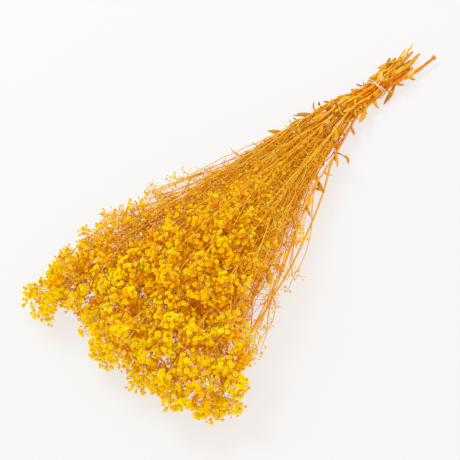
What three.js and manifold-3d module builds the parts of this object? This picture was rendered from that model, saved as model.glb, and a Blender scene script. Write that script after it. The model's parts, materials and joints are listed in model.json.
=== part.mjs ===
// A bunch of preserved gypsophila, lying on a flat surface as it was laid down.
//
// Twenty cut sprays are tied together near their cut ends. Each spray is one plant stem with its
// leaves, its side branches and, at the end of every branch, a tuft of florets on short stalks.
// From the tie the sprays fan out into a broad, low head that rests on the surface.
//
// Millimetres, +Z up, the surface at z = 0. The bunch lies along X with the cut ends towards +X
// and the head towards -X. "Along" means the distance from the tie towards the head.
import * as THREE from "three";
import { mergeVertices } from "three/addons/utils/BufferGeometryUtils.js";
import Module from "manifold-3d";

const wasm = await Module();
wasm.setup();

// The bunch as a whole.
const SPRAYS = 20;
const SEED = 21;
const TIE_X = 207; // the tie's place on the X axis
const BUNCH_Y = 5.2; // the bunch's middle line at the tie
const REACH = 500; // from the tie to the rim of the head
const FAN = THREE.MathUtils.degToRad(14); // how far the outermost stems lean out
const TAIL_FAN = THREE.MathUtils.degToRad(6); // the same for the cut ends
const PINCH = 25; // length over which the tie bends the stems
const STEM_GAP = 0.35; // between the tied stems
const GATHER_LENGTH = 60; // how far from the tie the stems are drawn together
const GATHER_STEPS = 60;
const TIE_HALF_WIDTH = 12.5;
const TIE_HALF_HEIGHT = 9;
const TIE_MIDDLE = 12.9; // height of the tied stems' middle
const HEAD_HALF_HEIGHT = 33;
const HEAD_MIDDLE = 46; // height of the head's middle where it is thickest
const HEAD_CREST = 380; // along the bunch, where the head is thickest
const RIM_SAG = 15; // how far the head's middle sinks from there to the rim
const RIM_THINNING = 10;
const RIM_ROUNDING = 0.02; // how much shorter the outermost sprays are, as a share
const NECK_BOW = 12; // how far the stems above the tie bow out to +Y
const NECK_START = 60; // where the bow is complete
const NECK_END = [150, 320]; // where it fades
const TAIL_BOW = -4; // the same for the cut ends
const TAIL_BOW_LENGTH = 60;
const TAIL_SAG = 4.4; // how far the cut ends sink below the tie
const TAIL_SAG_LENGTH = 70;

// One spray.
const STEM_RADIUS = 1.3;
const THICK_STEM = 17; // the spray with the thickest stem, on the -Y side
const THICK_STEM_RADIUS = 1.9;
const THICK_STEM_TAIL = 97;
const KNOB = 1.5; // how much wider the thick stem's cut end is
const KNOB_LENGTH = 4;
const THICK_STEM_STRAY = 6; // how far its cut end stands off from the others
const STEM_TIP_RADIUS = 1;
const STEM_SIDES = 5;
const STEM_TAPER_START = 40;
const STEM_STATIONS = [-30, 0, 38, 95, 165, 240, 320, 400]; // where it bends, along the bunch
const END_MARGINS = [15, 20]; // no bend this near the cut end, or the tip
const WANDER = 2.2; // how far a stem wanders sideways, and the share of that it wanders up
const WANDER_UP = 0.4;
const WANDER_START = 200; // where it wanders fully
const WANDER_WAVE = 47;
const WANDER_PHASE = 2.4; // between one spray and the next
const SHORTEST_SPRAY = 0.88; // share of the reach
const LENGTH_BIAS = 0.7; // below 1, more sprays are long
const SHORTEST_TAIL = 50;
const LONGEST_TAIL = 92;
const BRANCHES = 7;
const FIRST_TUFT = 0.46; // share of the spray's length where its tufts start
const BARE_SIDE = 0.1; // how much later they start on the +Y side
const BRANCH_RUN = [95, 38]; // length along the stem, first and last branch
const BRANCH_PLACE = 0.6; // of a step, where the first tuft is
const BRANCH_CROWDING = 0.8; // below 1, tufts crowd towards the rim
const BRANCH_JITTER = 0.08;
const BRANCH_SPREAD = 36; // sideways
const HEAD_EDGE = 0.3; // half the head's width, as a share of the distance from the tie
const EDGE_INSET = 12; // how far inside it the outermost hubs are
const BRANCH_LIFT = 18; // up and down
const SMALLEST_SPREAD = 0.45; // share of the two above
const BRANCH_CURVE = 0.9;
const BRANCH_RADIUS = [0.4, 1]; // at the stem, and halfway to the hub
const TUFT_TRIES = 40;
const ENOUGH_ROOM = 40; // between hubs; more isn't better
const ROOM_WORTH = 20; // this much more room is as good as one more floret
const BEYOND_COST = 4; // this far beyond the head's edge costs as much as one floret
const TIP_RUN = 12; // the last tuft's own branch, which carries on from the stem's tip

// One tuft: a small hub that one floret faces forward from and four face sideways.
const HUB_HALF = 1.4;
const STALK = 11; // from the tuft's hub to a floret's rim
const STALK_RANGE = [0.85, 1.15];
const FLORET_RADIUS = 7.8;
const FLORET_DOME = 3;
const FLORET_LEAN = 0.15; // how far the sideways florets lean forward
const LOWEST_HUB = 12.5; // the lowest tufts press their florets flat on the surface

// Radii of the rods that stand for a tuft's parts when they are tested for room.
const HUB_ROD = 1.8 * HUB_HALF;
const BRANCH_ROD = 1.4;
const CUP_ROD = 0.7 * FLORET_RADIUS;
const CONE_ROD = 0.4 * FLORET_RADIUS;
const CONE_START = 0.35;
const PETAL_ROD = 0.9;
const EDGE_ROD = 0.5;

// Leaves.
const INNER_LEAVES = [-0.4]; // places: shares of the tail below 0, distances above
const OUTER_LEAVES = [-0.25, -0.6, 45, 110];
const OUTER_SPRAYS = 10; // this spray and later ones are on the outside
const LEAF_LENGTH = 27;
const LEAF_WIDTH = 5;
const LEAF_THICKNESS = 1.1;
const LEAF_RANGE = [0.75, 1.2]; // shares of the length
const LEAF_LEAN = [0.25, 0.75]; // how far the tip is off the stem, as shares of the length
const LEAF_ARCH = 0.35;
const LEAF_SHIFT = [0.15, 40]; // shares of the tail, and distance above the tie
const LEAF_SPOTS = [0.35, 0.6, 0.85, 1];
const LEAF_ROD = 0.45 * LEAF_WIDTH;
const LEAF_ROOT_ROD = 1.3;
const LOWEST_LEAF = 1;

// The string.
const STRING_RADIUS = 0.75;
const STRING_GAP = 0.5;
const STRING_LEAN = 2.6; // how far each turn leans along the bunch
const STRING_BAND = 4; // half the length of stem that the turns lie on
const STRING_SIDES = 5;
const STRING_STEPS = 24;
const KNOT_ANGLE = THREE.MathUtils.degToRad(112); // round the stems, from +Y over the top
const KNOT_RADIUS = 1.9;
const KNOT_SHAPE = [1.2, 1, 0.75];
const KNOT_SIDES = [7, 5];
const KNOT_LIFT = 0.3;
// How many degrees a loose end turns round the stems at its start and its end, and its reach.
const LOOSE_ENDS = [
  { turns: [8, 42], reach: 14 },
  { turns: [8, 12], reach: 16 },
];
const LOOSE_END_THINNING = 0.9;
const LOOSE_END_STEPS = 4;
const LOOSE_END_ROD = 1.5;

const CLEARANCE = 0.35;

// Third keys for draw, far enough apart that no two chances are the same.
const KEYS = {
  size: 1,
  turn: 0,
  place: 50,
  spread: 100,
  spin: 150,
  stalk: 151,
  leafPlace: 200,
  leafTurn: 210,
  leafLean: 260,
  leafLength: 310,
};
const GOLDEN_ANGLE = Math.PI * (3 - Math.sqrt(5));
const UP = new THREE.Vector3(0, 0, 1);

// A number from 0 to 1 that is always the same for the same three keys.
function draw(a, b, c) {
  const wave = Math.sin(a * 12.9898 + b * 78.233 + c * 37.719 + SEED) * 43758.5453;
  return wave - Math.floor(wave);
}

const between = (low, high, share) => low + (high - low) * share;
const clamp = (x) => Math.min(1, Math.max(0, x));
const ease = (x) => clamp(x) ** 2 * (3 - 2 * clamp(x));

// Half the width of the stems' own fan, which pinches at the tie.
function halfWidth(along) {
  const lean = along > 0 ? FAN : TAIL_FAN;
  return TIE_HALF_WIDTH + Math.tan(lean) * (Math.hypot(along, PINCH) - PINCH);
}

function middleLine(along) {
  const fade = ease((along - NECK_END[0]) / (NECK_END[1] - NECK_END[0]));
  const neck = ease(along / NECK_START) * (1 - fade);
  return BUNCH_Y + NECK_BOW * neck + TAIL_BOW * ease(-along / TAIL_BOW_LENGTH);
}

function halfHeight(along) {
  const rise = ease(along / HEAD_CREST);
  const fall = ease((along - HEAD_CREST) / (REACH - HEAD_CREST));
  return between(TIE_HALF_HEIGHT, HEAD_HALF_HEIGHT, rise) - RIM_THINNING * fall;
}

function middle(along) {
  const rise = ease(along / HEAD_CREST);
  const fall = ease((along - HEAD_CREST) / (REACH - HEAD_CREST));
  const tail = ease(-along / TAIL_SAG_LENGTH);
  return between(TIE_MIDDLE, HEAD_MIDDLE, rise) - RIM_SAG * fall - TAIL_SAG * tail;
}

// The sprays' places in the bunch's cross-section are spread as seeds are on a seed head.
function makeSpray(index) {
  const out = Math.sqrt((index + 0.5) / SPRAYS);
  const side = out * Math.cos(index * GOLDEN_ANGLE);
  const up = out * Math.sin(index * GOLDEN_ANGLE);
  const rounding = 1 - RIM_ROUNDING * Math.abs(side) ** 3;
  const chance = draw(index, 1, KEYS.size) ** LENGTH_BIAS;
  return {
    index,
    side,
    up,
    radius: index === THICK_STEM ? THICK_STEM_RADIUS : STEM_RADIUS,
    length: REACH * rounding * between(SHORTEST_SPRAY, 1, chance),
    firstTuft: FIRST_TUFT + BARE_SIDE * ease(2 * side),
    tail:
      index === THICK_STEM
        ? THICK_STEM_TAIL
        : between(SHORTEST_TAIL, LONGEST_TAIL, draw(index, 2, KEYS.size)),
    solids: [],
  };
}

// At the tie each stem in turn is drawn to its nearest neighbour among those already in place.
function gather(sprays) {
  const tied = [];
  for (const spray of sprays) {
    const place = new THREE.Vector2(spray.side * TIE_HALF_WIDTH, spray.up * TIE_HALF_HEIGHT);
    const gapTo = (other) => other.place.distanceTo(place) - other.radius - spray.radius;
    for (let step = 0; tied.length && step < GATHER_STEPS; step += 1) {
      const near = tied.reduce((best, other) => (gapTo(other) < gapTo(best) ? other : best));
      const towards = near.place.clone().sub(place);
      place.add(towards.setLength((gapTo(near) - STEM_GAP) / 4));
    }
    spray.pullY = place.x - spray.side * TIE_HALF_WIDTH;
    spray.pullZ = place.y - spray.up * TIE_HALF_HEIGHT;
    tied.push({ place, radius: spray.radius });
  }
}

function stemPoint(spray, along) {
  const wave = Math.sin(along / WANDER_WAVE + spray.index * WANDER_PHASE);
  const wander = WANDER * ease(along / WANDER_START) * wave;
  const off = spray.index === THICK_STEM ? THICK_STEM_STRAY : 0;
  const stray = off * ease(-along / THICK_STEM_TAIL);
  const pull = 1 - ease(Math.abs(along) / GATHER_LENGTH);
  return new THREE.Vector3(
    TIE_X - along,
    middleLine(along) + spray.side * halfWidth(along) + wander - stray + pull * spray.pullY,
    middle(along) + spray.up * halfHeight(along) + WANDER_UP * wander + pull * spray.pullZ,
  );
}

// Directions across a path that heads towards tangent: level, and upwards.
function across(tangent) {
  const level = new THREE.Vector3().crossVectors(tangent, UP).normalize();
  return { level, upward: new THREE.Vector3().crossVectors(level, tangent) };
}

// Solids.
function toSolid(geometry) {
  const bare = geometry.index ? geometry.clone() : mergeVertices(geometry);
  bare.deleteAttribute("normal");
  bare.deleteAttribute("uv");
  const merged = mergeVertices(bare, 1e-4);
  const index = merged.index.array;
  const corners = [];
  for (let i = 0; i < index.length; i += 3) {
    const [a, b, c] = [index[i], index[i + 1], index[i + 2]];
    if (a !== b && b !== c && a !== c) corners.push(a, b, c);
  }
  return new wasm.Manifold(
    new wasm.Mesh({
      numProp: 3,
      vertProperties: merged.attributes.position.array,
      triVerts: new Uint32Array(corners),
    }),
  );
}

// Joins solids two by two, so that no step joins a large solid to many small ones.
function joined(solids) {
  let left = solids;
  while (left.length > 1) {
    const next = [];
    for (let i = 0; i < left.length; i += 2)
      next.push(left[i + 1] ? left[i].add(left[i + 1]) : left[i]);
    left = next;
  }
  return left[0];
}

function toMesh(name, solid, material) {
  const made = solid.getMesh();
  const geometry = new THREE.BufferGeometry();
  geometry.setAttribute("position", new THREE.BufferAttribute(made.vertProperties, 3));
  geometry.setIndex(new THREE.BufferAttribute(made.triVerts, 1));
  geometry.computeVertexNormals();
  const mesh = new THREE.Mesh(geometry, material);
  mesh.name = name;
  return mesh;
}

// A cylinder bent along a path. pointAt and radiusAt take a share of the path, from 0 to 1.
function sweep(pointAt, radiusAt, sides, steps) {
  const geometry = new THREE.CylinderGeometry(1, 1, 1, sides, steps);
  const position = geometry.attributes.position;
  const vertex = new THREE.Vector3();
  for (let i = 0; i < position.count; i += 1) {
    vertex.fromBufferAttribute(position, i);
    const share = clamp(vertex.y + 0.5);
    const before = pointAt(clamp(share - 1 / steps));
    const after = pointAt(clamp(share + 1 / steps));
    const { level, upward } = across(after.sub(before).normalize());
    const moved = pointAt(share)
      .addScaledVector(level, vertex.x * radiusAt(share))
      .addScaledVector(upward, vertex.z * radiusAt(share));
    position.setXYZ(i, moved.x, moved.y, moved.z);
  }
  return toSolid(geometry);
}

// What is already in place: rounded rods, each from one point to another, with a radius.
const rods = [];

function rodDistance(a, b) {
  const u = a.to.clone().sub(a.from);
  const v = b.to.clone().sub(b.from);
  const w = a.from.clone().sub(b.from);
  const [uu, uv, vv, uw, vw] = [u.dot(u), u.dot(v), v.dot(v), u.dot(w), v.dot(w)];
  const spread = uu * vv - uv * uv;
  let s = spread > 1e-9 ? clamp((uv * vw - vv * uw) / spread) : 0;
  const t = vv > 1e-9 ? clamp((uv * s + vw) / vv) : 0;
  s = uu > 1e-9 ? clamp((uv * t - uw) / uu) : 0;
  return w.addScaledVector(u, s).addScaledVector(v, -t).length() - a.radius - b.radius;
}

function makeRod(spray, part, from, to, radius) {
  const middlePoint = from.clone().lerp(to, 0.5);
  return { spray, part, from, to, radius, middlePoint, half: from.distanceTo(to) / 2 + radius };
}

// Within a spray only the roots of branches and leaves, and the tuft at its tip, meet the stem.
function mayMeet(rod, other) {
  if (rod.spray !== other.spray) return false;
  if (rod.part === "tip") return other.part === "stem";
  return [rod, other].every(({ part }) => part === "stem" || part === "root" || part === "leaf");
}

function isClear(rod) {
  return rods.every((other) => {
    if (mayMeet(rod, other)) return true;
    const reach = rod.half + other.half + CLEARANCE;
    if (rod.middlePoint.distanceTo(other.middlePoint) > reach) return true;
    return rodDistance(rod, other) > CLEARANCE;
  });
}

// Main stems.
function stemRadius(spray, along) {
  const knob = spray.index === THICK_STEM && along < 1 - spray.tail ? KNOB : 1;
  const taper = ease((along - STEM_TAPER_START) / (spray.length - STEM_TAPER_START));
  return knob * between(spray.radius, STEM_TIP_RADIUS, taper);
}

function stemStations(spray) {
  const [tailEnd, tipEnd] = [END_MARGINS[0] - spray.tail, spray.length - END_MARGINS[1]];
  const inner = STEM_STATIONS.filter((along) => along > tailEnd && along < tipEnd);
  const knob = spray.index === THICK_STEM ? [KNOB_LENGTH - spray.tail] : [];
  return [-spray.tail, ...knob, ...inner, spray.length];
}

// The stem is straight between its stations.
function onStem(spray, along) {
  const stations = stemStations(spray);
  const last = stations.length - 2;
  const step = Math.min(last, Math.max(0, stations.findIndex((a) => a > along) - 1));
  const [from, to] = along < spray.length ? [step, step + 1] : [last, last + 1];
  const part = (along - stations[from]) / (stations[to] - stations[from]);
  return stemPoint(spray, stations[from]).lerp(stemPoint(spray, stations[to]), part);
}

function growStem(spray) {
  const stations = stemStations(spray);
  const steps = stations.length - 1;
  const alongAt = (share) => stations[Math.round(share * steps)];
  const pointAt = (share) => stemPoint(spray, alongAt(share));
  const radiusAt = (share) => stemRadius(spray, alongAt(share));
  spray.solids.push(sweep(pointAt, radiusAt, STEM_SIDES, steps));
  for (let i = 0; i < steps; i += 1) {
    const [from, to] = [stemPoint(spray, stations[i]), stemPoint(spray, stations[i + 1])];
    rods.push(makeRod(spray, "stem", from, to, stemRadius(spray, stations[i])));
  }
}

// Branches and tufts. A branch leaves its stem at a narrow angle and ends in a tuft's hub.
function planBranch(spray, branch, attempt) {
  const chance = (key) => draw(spray.index, branch, attempt + key);
  const share = (branch + BRANCH_PLACE) / BRANCHES;
  const jitter = BRANCH_JITTER * (chance(KEYS.place) - 0.5);
  const place = Math.min(1, share ** BRANCH_CROWDING + jitter);
  const hubAlong = spray.length * between(spray.firstTuft, 1, place);
  const run = between(BRANCH_RUN[0], BRANCH_RUN[1], share);
  const turn = 2 * Math.PI * chance(KEYS.turn);
  const size = between(SMALLEST_SPREAD, 1, chance(KEYS.spread));
  const sideways = BRANCH_SPREAD * size * Math.cos(turn);
  const upwards = BRANCH_LIFT * size * Math.sin(turn);
  const straight = (part) => {
    const point = onStem(spray, hubAlong - run * (1 - part));
    point.y += sideways * part ** BRANCH_CURVE;
    point.z += upwards * part ** BRANCH_CURVE;
    return point;
  };
  const lift = Math.max(0, LOWEST_HUB - straight(1).z);
  const pointAt = (part) => straight(part).addScaledVector(UP, lift * part);
  return { spray, branch, pointAt };
}

// The tuft at the end of every stem.
function planTip(spray) {
  const pointAt = (part) => onStem(spray, spray.length - TIP_RUN * (1 - part) + 1);
  return { spray, branch: BRANCHES, pointAt };
}

// The four corners of the hub's face that looks along an axis, anticlockwise from outside.
// Corner numbers count 4 for forward, 2 for upward and 1 for level.
function faceCorners(axis, sign) {
  const [a, b, c] = [4 >> axis, 4 >> ((axis + 1) % 3), 4 >> ((axis + 2) % 3)];
  const own = sign > 0 ? a : 0;
  const ring = [own + b + c, own + c, own, own + b];
  return sign > 0 ? ring : ring.reverse();
}

const FACES = [
  [0, 1],
  [1, 1],
  [2, 1],
  [1, -1],
  [2, -1],
];

function planTuft({ spray, branch, pointAt }) {
  const [start, bend, hub] = [pointAt(0), pointAt(0.5), pointAt(1)];
  const heading = hub.clone().sub(bend).normalize();
  const { level, upward } = across(heading);
  const spin = 2 * Math.PI * draw(spray.index, branch, KEYS.spin);
  const axes = [
    heading,
    upward.clone().multiplyScalar(Math.cos(spin)).addScaledVector(level, Math.sin(spin)),
    level.clone().multiplyScalar(Math.cos(spin)).addScaledVector(upward, -Math.sin(spin)),
  ];
  const corners = Array.from({ length: 8 }, (_, i) =>
    [4, 2, 1].reduce(
      (point, bit, axis) => point.addScaledVector(axes[axis], i & bit ? HUB_HALF : -HUB_HALF),
      hub.clone(),
    ),
  );
  const florets = FACES.map(([axis, sign], i) =>
    planFloret(hub, axes, corners, axis, sign, draw(spray.index, branch, KEYS.stalk + i)),
  );
  return { spray, hub, bend, start, corners, florets };
}

function planFloret(hub, axes, corners, axis, sign, chance) {
  const axisOut = axes[axis].clone().multiplyScalar(sign);
  if (axis > 0) axisOut.addScaledVector(axes[0], FLORET_LEAN).normalize();
  const stalk = STALK * between(STALK_RANGE[0], STALK_RANGE[1], chance);
  const rim = hub.clone().addScaledVector(axisOut, stalk);
  const ring = faceCorners(axis, sign);
  const tips = ring.map((corner) => {
    const outward = corners[corner].clone().sub(hub);
    outward.addScaledVector(axisOut, -outward.dot(axisOut)).setLength(FLORET_RADIUS);
    return rim.clone().add(outward);
  });
  return { ring, rim, tips, top: rim.clone().addScaledVector(axisOut, FLORET_DOME) };
}

function floretRods(spray, part, { hub, corners }, { ring, rim, tips }) {
  return [
    makeRod(spray, part, rim, rim, CUP_ROD),
    makeRod(spray, part, hub.clone().lerp(rim, CONE_START), rim, CONE_ROD),
    makeRod(spray, part, tips[0], tips[2], PETAL_ROD),
    makeRod(spray, part, tips[1], tips[3], PETAL_ROD),
    ...tips.map((tip, i) => makeRod(spray, part, corners[ring[i]], tip, EDGE_ROD)),
  ];
}

function branchRods({ spray, start, bend, hub }) {
  return [
    makeRod(spray, "root", start, bend, BRANCH_RADIUS[1]),
    makeRod(spray, "branch", bend, hub, BRANCH_ROD),
  ];
}

// The best of several places for a branch's tuft: most florets clear, far from other hubs, and
// within the head's outline.
const hubs = [];

function tryTuft(plan) {
  const { spray, branch } = plan;
  const tuft = planTuft(plan);
  const atTip = branch === BRANCHES;
  const part = atTip ? "tip" : "tuft";
  const core = makeRod(spray, part, tuft.hub, tuft.hub, HUB_ROD);
  if (!isClear(core) || (!atTip && !branchRods(tuft).every(isClear))) return null;
  for (const floret of tuft.florets)
    floret.open = floretRods(spray, part, tuft, floret).every(isClear);
  const open = tuft.florets.filter((floret) => floret.open).length;
  const nearest = (least, hub) => Math.min(least, hub.distanceTo(tuft.hub));
  const room = hubs.reduce(nearest, ENOUGH_ROOM);
  const along = TIE_X - tuft.hub.x;
  const edge = HEAD_EDGE * along - EDGE_INSET;
  const beyond = Math.max(0, Math.abs(tuft.hub.y - middleLine(along)) - edge);
  return { tuft, score: open + room / ROOM_WORTH - beyond / BEYOND_COST };
}

function growBranch(spray, branch) {
  const atTip = branch === BRANCHES;
  const plans = Array.from({ length: atTip ? 1 : TUFT_TRIES }, (_, attempt) =>
    atTip ? planTip(spray) : planBranch(spray, branch, attempt),
  );
  const best = plans
    .map(tryTuft)
    .filter(Boolean)
    .reduce((top, one) => (!top || one.score > top.score ? one : top), null);
  if (!best) return;
  const { tuft } = best;
  hubs.push(tuft.hub);
  if (!atTip) rods.push(...branchRods(tuft));
  for (const floret of tuft.florets)
    if (floret.open) rods.push(...floretRods(spray, "tuft", tuft, floret));
  spray.solids.push(tuftSolid(tuft));
}

// A branch, its hub and larger-than-life florets: four petals round a low dome, on a stalk that
// narrows to the hub.
function tuftSolid({ hub, bend, start, corners, florets }) {
  const points = [...corners];
  const faces = [];
  const addQuad = (a, b, c, d) => faces.push(a, b, c, a, c, d);
  const addSides = (ring, first) => {
    for (let i = 0; i < 4; i += 1) {
      const next = (i + 1) % 4;
      addQuad(ring[i], ring[next], first + next, first + i);
    }
  };
  const behind = faceCorners(0, -1);
  [bend, start].forEach((place, step) => {
    addSides(step ? [8, 9, 10, 11] : behind, points.length);
    for (const corner of behind) {
      const outward = corners[corner].clone().sub(hub).projectOnPlane(hub.clone().sub(bend));
      points.push(place.clone().add(outward.setLength(BRANCH_RADIUS[1 - step])));
    }
  });
  addQuad(12, 13, 14, 15);
  for (const { ring, tips, top, open } of florets) {
    if (!open) {
      addQuad(...ring);
      continue;
    }
    const first = points.length;
    addSides(ring, first);
    points.push(...tips, top);
    for (let i = 0; i < 4; i += 1) faces.push(first + i, first + ((i + 1) % 4), first + 4);
  }
  return toSolid(new THREE.BufferGeometry().setFromPoints(points).setIndex(faces));
}

// Leaves: lance-shaped, arched, in the lower half of each stem.
function growLeaf(spray, leaf) {
  const place = spray.index < OUTER_SPRAYS ? INNER_LEAVES[leaf] : OUTER_LEAVES[leaf];
  if (place === undefined) return;
  const jitter = draw(spray.index, leaf, KEYS.leafPlace) - 0.5;
  const inTail = spray.tail * (place + LEAF_SHIFT[0] * jitter);
  const along = place < 0 ? inTail : place + LEAF_SHIFT[1] * jitter;
  const root = onStem(spray, along);
  const ahead = onStem(spray, along + 5).sub(root).normalize();
  const { level, upward } = across(ahead);
  for (let attempt = 0; attempt < TUFT_TRIES; attempt += 1) {
    const chance = (key) => draw(spray.index, leaf, key + attempt);
    const turn = 2 * Math.PI * chance(KEYS.leafTurn);
    const outward = level
      .clone()
      .multiplyScalar(Math.cos(turn))
      .addScaledVector(upward, Math.sin(turn));
    const lean = between(LEAF_LEAN[0], LEAF_LEAN[1], chance(KEYS.leafLean));
    const size = between(LEAF_RANGE[0], LEAF_RANGE[1], chance(KEYS.leafLength));
    const length = LEAF_LENGTH * size;
    const pointAt = (share) =>
      root
        .clone()
        .addScaledVector(ahead, length * share)
        .addScaledVector(outward, length * lean * (share - LEAF_ARCH * share ** 2));
    const spots = LEAF_SPOTS.map(pointAt);
    const leafRods = [
      makeRod(spray, "root", pointAt(LEAF_SPOTS[0] / 2), spots[0], LEAF_ROOT_ROD),
      ...spots.map((spot) => makeRod(spray, "leaf", spot, spot, LEAF_ROD)),
    ];
    if (spots.some((spot) => spot.z < LOWEST_LEAF) || !leafRods.every(isClear)) continue;
    rods.push(...leafRods);
    spray.solids.push(leafSolid(pointAt, outward));
    return;
  }
}

function leafSolid(pointAt, outward) {
  const geometry = new THREE.SphereGeometry(1, 4, 3);
  const position = geometry.attributes.position;
  const vertex = new THREE.Vector3();
  for (let i = 0; i < position.count; i += 1) {
    vertex.fromBufferAttribute(position, i);
    const share = (vertex.y + 1) / 2;
    const ahead = pointAt(share + 0.01)
      .sub(pointAt(share))
      .normalize();
    const flatSide = new THREE.Vector3().crossVectors(ahead, outward).normalize();
    const thickSide = new THREE.Vector3().crossVectors(flatSide, ahead);
    const moved = pointAt(share)
      .addScaledVector(flatSide, (vertex.x * LEAF_WIDTH) / 2)
      .addScaledVector(thickSide, (vertex.z * LEAF_THICKNESS) / 2);
    position.setXYZ(i, moved.x, moved.y, moved.z);
  }
  return toSolid(geometry);
}

// The string: two turns that cross at the knot and again underneath, and two loose ends.
function stringPoint(angle, along, from, to) {
  const edge = sprays.reduce((most, spray) => {
    for (let place = from; place <= to; place += 4) {
      const { y, z } = onStem(spray, place);
      const out = (y - BUNCH_Y) * Math.cos(angle) + (z - TIE_MIDDLE) * Math.sin(angle);
      most = Math.max(most, out + stemRadius(spray, place));
    }
    return most;
  }, 0);
  const radius = edge + STRING_GAP + STRING_RADIUS;
  return new THREE.Vector3(
    TIE_X - along,
    BUNCH_Y + radius * Math.cos(angle),
    TIE_MIDDLE + radius * Math.sin(angle),
  );
}

function stringTurn(lean) {
  const geometry = new THREE.TorusGeometry(1, 0.5, STRING_SIDES, STRING_STEPS);
  const position = geometry.attributes.position;
  for (let i = 0; i < position.count; i += 1) {
    const [x, y, z] = [position.getX(i), position.getY(i), position.getZ(i)];
    const angle = Math.atan2(y, x);
    const along = lean * Math.sin(angle - KNOT_ANGLE);
    const moved = stringPoint(angle, along, -STRING_BAND, STRING_BAND);
    const out = 2 * STRING_RADIUS * (Math.hypot(x, y) - 1);
    moved.x += 2 * STRING_RADIUS * z;
    moved.y += out * Math.cos(angle);
    moved.z += out * Math.sin(angle);
    position.setXYZ(i, moved.x, moved.y, moved.z);
  }
  return toSolid(geometry);
}

function looseEnd(angles, reach) {
  const pointAt = (share) => {
    const turn = between(angles[0] * share, angles[1], share ** 3);
    const angle = KNOT_ANGLE - THREE.MathUtils.degToRad(turn);
    return stringPoint(angle, -reach * share, -reach, STRING_BAND);
  };
  for (let step = 0; step < LOOSE_END_STEPS; step += 1) {
    const [from, to] = [step, step + 1].map((s) => pointAt(s / LOOSE_END_STEPS));
    rods.push(makeRod("string", "string", from, to, LOOSE_END_ROD));
  }
  const radius = LOOSE_END_THINNING * STRING_RADIUS;
  return sweep(pointAt, () => radius, STRING_SIDES, LOOSE_END_STEPS);
}

function tieString() {
  const knot = new THREE.SphereGeometry(KNOT_RADIUS, ...KNOT_SIDES);
  knot.scale(...KNOT_SHAPE);
  const place = stringPoint(KNOT_ANGLE, 0, -STRING_BAND, STRING_BAND);
  knot.translate(place.x, place.y, place.z + KNOT_LIFT);
  for (let step = 0; step < STRING_STEPS; step += 1) {
    const [from, to] = [step, step + 1].map((s) =>
      stringPoint((s / STRING_STEPS) * 2 * Math.PI, 0, -STRING_BAND, STRING_BAND),
    );
    rods.push(makeRod("string", "string", from, to, STRING_RADIUS + STRING_LEAN));
  }
  return joined([
    stringTurn(STRING_LEAN),
    stringTurn(-STRING_LEAN),
    toSolid(knot),
    ...LOOSE_ENDS.map(({ turns, reach }) => looseEnd(turns, reach)),
  ]);
}

const sprays = Array.from({ length: SPRAYS }, (_, index) => makeSpray(index));
gather(sprays);
sprays.forEach(growStem);
const string = tieString();
OUTER_LEAVES.forEach((_, leaf) => sprays.forEach((spray) => growLeaf(spray, leaf)));
for (let branch = BRANCHES; branch >= 0; branch -= 1)
  sprays.forEach((spray) => growBranch(spray, branch));

const floor = new THREE.BoxGeometry(2000, 2000, 100);
floor.translate(0, 0, -50);
const floorSolid = toSolid(floor);
const floretYellow = new THREE.MeshStandardMaterial({ color: 0xf0b90f, roughness: 0.75 });
const stringCream = new THREE.MeshStandardMaterial({ color: 0xebd7bc, roughness: 0.85 });

const bunch = new THREE.Group();
for (const spray of sprays) {
  const solid = joined(spray.solids).subtract(floorSolid);
  const name = `spray_${String(spray.index + 1).padStart(2, "0")}`;
  bunch.add(toMesh(name, solid, floretYellow));
}
bunch.add(toMesh("tie", string, stringCream));

export default bunch;
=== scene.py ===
# A bunch of preserved gypsophila, dyed golden yellow and tied with string, on a pale table.
#
# The plant grows here by the same rule as the solids in the frame, so that every floret, branch
# and leaf is where its solid is, only finer. Metres, +Z up. "Along" is the distance from the tie
# towards the head, and "keys" are the numbers that every chance is drawn from.
import itertools
import json
import math
from types import SimpleNamespace

import bmesh
import bpy
import numpy as np
from mathutils import Matrix, Vector
from mathutils.kdtree import KDTree

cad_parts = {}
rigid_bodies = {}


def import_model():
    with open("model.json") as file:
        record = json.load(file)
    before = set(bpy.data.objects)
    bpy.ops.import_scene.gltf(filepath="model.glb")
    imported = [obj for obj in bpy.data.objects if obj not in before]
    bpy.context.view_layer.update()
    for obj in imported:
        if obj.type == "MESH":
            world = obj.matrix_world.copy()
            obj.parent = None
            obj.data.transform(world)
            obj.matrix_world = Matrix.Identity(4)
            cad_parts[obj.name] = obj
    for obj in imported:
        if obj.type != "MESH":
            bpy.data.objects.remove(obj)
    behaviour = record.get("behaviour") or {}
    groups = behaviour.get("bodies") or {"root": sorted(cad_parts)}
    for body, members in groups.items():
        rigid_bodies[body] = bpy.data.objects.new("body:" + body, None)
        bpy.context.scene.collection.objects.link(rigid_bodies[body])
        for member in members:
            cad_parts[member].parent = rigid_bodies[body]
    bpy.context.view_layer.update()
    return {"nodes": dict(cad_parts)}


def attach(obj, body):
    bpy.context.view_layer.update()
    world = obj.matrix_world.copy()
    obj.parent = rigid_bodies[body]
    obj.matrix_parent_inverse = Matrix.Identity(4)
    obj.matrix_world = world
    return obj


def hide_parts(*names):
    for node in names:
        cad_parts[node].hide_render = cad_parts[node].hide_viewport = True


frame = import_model()

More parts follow.
